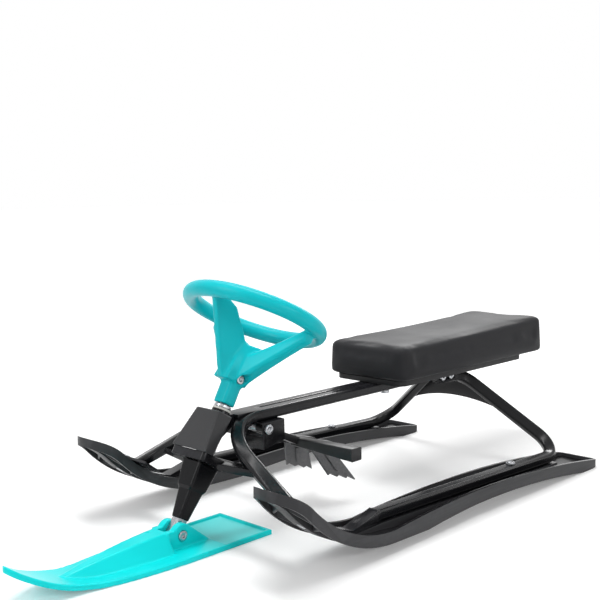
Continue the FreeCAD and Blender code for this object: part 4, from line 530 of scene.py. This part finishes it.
class SLED_OT_stage(SledOperator):
    """Sets the pale floor, the soft lights and the camera."""

    bl_idname = "sled.stage"
    bl_label = "Stage"

    def execute(self, context):
        values = context.scene.sled_stage
        context.scene.view_settings.view_transform = "Standard"
        self.make_room(context.scene, values)
        self.make_floor(values)
        self.make_lights()
        self.make_camera(context.scene, values)
        return {"FINISHED"}

    def make_room(self, scene, values):
        """A white room as seen and mirrored, and softer as a light."""
        world = bpy.data.worlds.new("Pale room")
        world.use_nodes = True
        scene.world = world
        tree = world.node_tree
        strength = put(
            tree, "ShaderNodeMapRange", {"Value": seen_rays(tree), "To Min": values.ambient, "To Max": 1.0}
        )
        back = tree.nodes["Background"]
        back.inputs["Color"].default_value = (1.0, 1.0, 1.0, 1.0)
        tree.links.new(strength.outputs["Result"], back.inputs["Strength"])

    def make_floor(self, values):
        """A broad pale floor that keeps the sled's shadow."""
        half = 40.0
        mesh = bpy.data.meshes.new("floor")
        corners = [(-half, -half, 0), (half, -half, 0), (half, half, 0), (-half, half, 0)]
        mesh.from_pydata(corners, [], [(0, 1, 2, 3)])
        floor = bpy.data.objects.new("floor", mesh)
        bpy.context.scene.collection.objects.link(floor)
        finish, tree, shader = new_finish("Pale floor", roughness=0.9)
        shader.inputs["Base Color"].default_value = (*values.floor, 1.0)
        shader.inputs["Emission Color"].default_value = (1.0, 1.0, 1.0, 1.0)
        where = put(tree, "ShaderNodeTexCoord").outputs["Object"]
        away = put(tree, "ShaderNodeVectorMath", {0: where}, operation="LENGTH").outputs["Value"]
        reach = values.floor_reach
        lift = ranged(tree, away, values.floor_near, values.floor_far, reach / 4, reach)
        glow = put(tree, "ShaderNodeMath", {0: seen_rays(tree), 1: lift}, operation="MULTIPLY")
        tree.links.new(glow.outputs["Value"], shader.inputs["Emission Strength"])
        mesh.materials.append(finish)

    def make_lights(self):
        """Soft boxes above, before, beside and behind the sled."""
        boxes = {
            "overhead": ((0.1, 0.0, 1.9), (0.0, 0.0, 0.1), (1.6, 0.5), 24.0),
            "front": ((2.0, -0.5, 1.3), (0.2, 0.0, 0.2), (0.4, 1.2), 17.0),
            "left": ((0.2, 2.2, 1.0), (0.0, 0.1, 0.15), (1.6, 0.25), 13.0),
            "back": ((-1.7, -0.9, 1.2), (-0.2, 0.0, 0.2), (1.0, 0.3), 16.0),
        }
        for name, (place, aim, size, power) in boxes.items():
            lamp = bpy.data.lights.new(name + "_box", "AREA")
            lamp.shape = "RECTANGLE"
            lamp.size, lamp.size_y = size
            lamp.energy = power
            holder = bpy.data.objects.new(name + "_box", lamp)
            holder.location = place
            holder.rotation_euler = (Vector(aim) - Vector(place)).to_track_quat("-Z", "Y").to_euler()
            bpy.context.scene.collection.objects.link(holder)

    def make_camera(self, scene, values):
        """The camera at the photograph's angle."""
        camera = bpy.data.objects.new("camera", bpy.data.cameras.new("camera"))
        camera.data.lens = values.lens
        camera.data.sensor_width = 36.0
        ahead = Vector(
            (-math.cos(values.yaw) * math.cos(values.pitch), -math.sin(values.yaw) * math.cos(values.pitch),
             -math.sin(values.pitch))
        )
        right = Vector((-math.sin(values.yaw), math.cos(values.yaw), 0.0))
        down = ahead.cross(right)
        turned = right * math.cos(values.roll) + down * math.sin(values.roll)
        lower = down * math.cos(values.roll) - right * math.sin(values.roll)
        aim = Matrix((turned, -lower, -ahead)).transposed().to_4x4()
        camera.matrix_world = Matrix.Translation(values.eye) @ aim
        scene.collection.objects.link(camera)
        scene.camera = camera


class SLED_OT_frame(SledOperator):
    """Paints the tubes and plates gloss black."""

    bl_idname = "sled.frame"
    bl_label = "Frame"

    def execute(self, context):
        finish = paint_finish(self.colours.paint)
        for node in TUBES:
            stand_in(smoothed(copied(node)), node, finish)
        for node in PLATES:
            softened(node, self.sizes.plate_edge, finish)
        return {"FINISHED"}


class SLED_OT_runners(SledOperator):
    """Rounds the edges of the two rear skis and finishes them."""

    bl_idname = "sled.runners"
    bl_label = "Rear skis"

    def execute(self, context):
        finish = runner_finish(self.colours.ski_wall, self.colours.ski_pan)
        for node in ("left_rear_ski", "right_rear_ski"):
            softened(node, self.sizes.runner_edge, finish)
        return {"FINISHED"}


class SLED_OT_fasteners(SledOperator):
    """Rounds and plates the bolts, nuts, collar and shaft, and finishes the bushes."""

    bl_idname = "sled.fasteners"
    bl_label = "Fasteners"

    def execute(self, context):
        finish = zinc_finish(self.colours.zinc)
        for node in FASTENERS:
            softened(node, self.sizes.bolt_edge, finish)
        # The bushes' edges are painted paler by the default edge factor: painted highlight.
        nylon = plastic("Natural nylon", self.colours.bush, 0.45, 800.0, 0.0001)
        for node in BUSHES:
            softened(node, self.sizes.claw_edge, nylon)
        return {"FINISHED"}


class SLED_OT_springs(SledOperator):
    """Winds the brake springs round the pivot bolt."""

    bl_idname = "sled.springs"
    bl_label = "Brake springs"

    def execute(self, context):
        finish = zinc_finish(self.colours.zinc)
        wire = self.sizes.spring_wire
        steps = 16
        for node in SPRINGS:
            low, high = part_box(node)
            middle = (low + high) / 2
            reach = (high.x - low.x) / 2 - wire / 2
            start, end = low.y + wire / 2, high.y - wire / 2
            count = self.sizes.spring_turns * steps
            line = bpy.data.curves.new(node + "_wound", "CURVE")
            line.dimensions = "3D"
            line.bevel_depth = wire / 2
            line.bevel_resolution = 3
            spline = line.splines.new("NURBS")
            spline.points.add(count)
            for index, spot in enumerate(spline.points):
                turn = 2 * math.pi * index / steps
                along = start + (end - start) * index / count
                spot.co = (middle.x + reach * math.cos(turn), along, middle.z + reach * math.sin(turn), 1.0)
            spline.order_u = 4
            spline.use_endpoint_u = True
            spring = bpy.data.objects.new(node + "_wound", line)
            context.scene.collection.objects.link(spring)
            stand_in(spring, node, finish)
        return {"FINISHED"}


class SLED_OT_column(SledOperator):
    """Blends the edges of the front cover and the column cone and finishes them."""

    bl_idname = "sled.column"
    bl_label = "Cover and cone"

    def execute(self, context):
        voxel = self.sizes.column_voxel
        # The edge factors paint the cover's and the cone's edges paler: painted highlight.
        cover = plastic("Charcoal cover", self.colours.cover, 0.34, 900.0, 0.0001, shine=0.28, edge=1.8)
        moulded("front_cover", voxel, self.sizes.cover_passes, cover)
        cone = plastic("Gloss black cone", self.colours.cone, 0.16, 500.0, 0.0001, shine=0.16, edge=2.5)
        moulded("column_cone", voxel, self.sizes.cone_passes, cone)
        return {"FINISHED"}


class SLED_OT_wheel(SledOperator):
    """Blends the fins, neck and rim of the steering wheel into one moulding."""

    bl_idname = "sled.wheel"
    bl_label = "Steering wheel"

    def execute(self, context):
        # The edge factor paints the wheel's edges paler: painted highlight.
        finish = plastic("Turquoise wheel", self.colours.wheel, 0.34, 650.0, 0.0001, shine=0.16, edge=1.2)
        moulded("steering_wheel", self.sizes.wheel_voxel, self.sizes.wheel_passes, finish)
        return {"FINISHED"}


class SLED_OT_front_ski(SledOperator):
    """Blends the front ski's ridge, lobes and deck into one moulding."""

    bl_idname = "sled.front_ski"
    bl_label = "Front ski"

    def execute(self, context):
        # The edge factor paints the ski's edges paler: painted highlight.
        finish = plastic(
            "Turquoise ski", self.colours.front_ski, 0.32, 650.0, 0.0001, shine=0.16, edge=1.2,
            # The rear pad painted paler as painted light.
            pad=self.colours.front_pad_painted_light,
        )
        moulded("front_ski", self.sizes.ski_voxel, self.sizes.ski_passes, finish)
        return {"FINISHED"}


class SLED_OT_brakes(SledOperator):
    """Finishes the brake pedals and claws."""

    bl_idname = "sled.brakes"
    bl_label = "Foot brakes"

    def execute(self, context):
        # The edge factor paints the pedals' edges paler: painted highlight.
        pedal = plastic("Black pedal", self.colours.pedal, 0.36, 600.0, 0.0003, shine=0.25, edge=2.0)
        for node in PEDALS:
            softened(node, self.sizes.pedal_edge, pedal)
        claw = claw_finish(self.colours.claw)
        for node in CLAWS:
            softened(node, self.sizes.claw_edge, claw)
        return {"FINISHED"}


class SLED_OT_seat(SledOperator):
    """Stuffs the seat cushion and finishes it and its board."""

    bl_idname = "sled.seat"
    bl_label = "Seat"

    def execute(self, context):
        board = plastic("Seat board", self.colours.board, 0.45, 500.0, 0.0002, shine=0.25)
        softened("seat_board", self.sizes.plate_edge, board)
        low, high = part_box("seat_cushion")
        piece = self.block(context.scene, low, high)
        blend = piece.modifiers.new("blend", "REMESH")
        blend.mode = "VOXEL"
        blend.voxel_size = self.sizes.seat_voxel
        settled(piece)
        self.stuff(context.scene, piece, low, high)
        fine = piece.modifiers.new("fine", "SUBSURF")
        fine.levels = fine.render_levels = 1
        settled(piece)
        piece.data.shade_smooth()
        stand_in(piece, "seat_cushion", vinyl_finish(self.colours.seat))
        return {"FINISHED"}

    def block(self, scene, low, high):
        """A block within two corners, its edges rounded and its top sloped to the front."""
        sheet = bmesh.new()
        bmesh.ops.create_cube(sheet, size=1.0)
        bmesh.ops.scale(sheet, vec=high - low, verts=sheet.verts)
        bmesh.ops.translate(sheet, vec=(low + high) / 2, verts=sheet.verts)
        tall = high.z - low.z
        even = {"profile": 0.5, "affect": "EDGES"}
        upright = [edge for edge in sheet.edges if abs(edge.verts[0].co.z - edge.verts[1].co.z) > tall / 2]
        bmesh.ops.bevel(sheet, geom=upright, offset=self.sizes.seat_corner, segments=6, **even)
        level = [edge for edge in sheet.edges if edge.verts[0].co.z == edge.verts[1].co.z]
        bmesh.ops.bevel(sheet, geom=level, offset=self.sizes.seat_edge, segments=4, **even)
        fall = self.sizes.seat_fall_front - self.sizes.seat_fall_rear
        for point in sheet.verts:
            if point.co.z > (low.z + high.z) / 2:
                ahead = (point.co.x - low.x) / (high.x - low.x)
                point.co.z -= self.sizes.seat_fall_rear + fall * ahead
        mesh = bpy.data.meshes.new("seat_cushion_stuffed")
        sheet.to_mesh(mesh)
        sheet.free()
        piece = bpy.data.objects.new("seat_cushion_stuffed", mesh)
        scene.collection.objects.link(piece)
        return piece

    def stuff(self, scene, piece, low, high):
        """Draws the cushion in a little, swells it under pressure, held at its base, and evens it out."""
        middle = (low + high) / 2
        tuck = self.sizes.seat_tuck
        share = [1 - 2 * tuck / (high[axis] - low[axis]) for axis in range(3)]
        held = piece.vertex_groups.new(name="base")
        base = low.z + 2 * self.sizes.seat_voxel
        for point in piece.data.vertices:
            flat = point.co.z < base
            point.co.x = middle.x + (point.co.x - middle.x) * share[0]
            point.co.y = middle.y + (point.co.y - middle.y) * share[1]
            point.co.z = low.z + (point.co.z - low.z) * share[2]
            if flat:
                held.add([point.index], 1.0, "REPLACE")
        rest = [point.co.copy() for point in piece.data.vertices]
        cloth = piece.modifiers.new("stuffing", "CLOTH")
        settings = cloth.settings
        settings.use_pressure = True
        settings.uniform_pressure_force = self.sizes.seat_pressure
        settings.vertex_group_mass = "base"
        settings.tension_stiffness = settings.compression_stiffness = self.sizes.seat_stretch
        settings.bending_stiffness = self.sizes.seat_fold
        settings.effector_weights.gravity = 0.0
        last = self.sizes.seat_steps
        cloth.point_cache.frame_start, cloth.point_cache.frame_end = 1, last
        for step in range(1, last + 1):
            scene.frame_set(step)
        settled(piece)
        scene.frame_set(1)
        cap = self.sizes.seat_cap
        for point, before in zip(piece.data.vertices, rest):
            shift = point.co - before
            if shift.length > cap:
                point.co = before + shift.normalized() * cap
        calm = piece.modifiers.new("calm", "SMOOTH")
        calm.factor = 0.5
        calm.iterations = self.sizes.seat_passes
        settled(piece)


OPERATORS = [
    SLED_OT_stage, SLED_OT_frame, SLED_OT_runners, SLED_OT_fasteners, SLED_OT_springs, SLED_OT_column,
    SLED_OT_wheel, SLED_OT_front_ski, SLED_OT_brakes, SLED_OT_seat,
]


class SLED_PT_looks(bpy.types.Panel):
    """Lists the sled's operators, colours and sizes."""

    bl_idname = "SLED_PT_looks"
    bl_label = "Steering sled"
    bl_space_type = "VIEW_3D"
    bl_region_type = "UI"
    bl_category = "Sled"

    def draw(self, context):
        for operator in OPERATORS:
            self.layout.operator(operator.bl_idname)
        for values in (context.scene.sled_colours, context.scene.sled_sizes, context.scene.sled_stage):
            for name in values.__annotations__:
                self.layout.prop(values, name)


CLASSES += [*OPERATORS, SLED_PT_looks]


def register():
    for item in CLASSES:
        bpy.utils.register_class(item)
    bpy.types.Scene.sled_colours = PointerProperty(type=SledColours)
    bpy.types.Scene.sled_sizes = PointerProperty(type=SledSizes)
    bpy.types.Scene.sled_stage = PointerProperty(type=SledStage)


def unregister():
    del bpy.types.Scene.sled_colours
    del bpy.types.Scene.sled_sizes
    del bpy.types.Scene.sled_stage
    for item in reversed(CLASSES):
        bpy.utils.unregister_class(item)


def main():
    register()
    for operator in OPERATORS:
        getattr(bpy.ops.sled, operator.bl_idname.split(".")[1])()


if __name__ == "__main__":
    main()
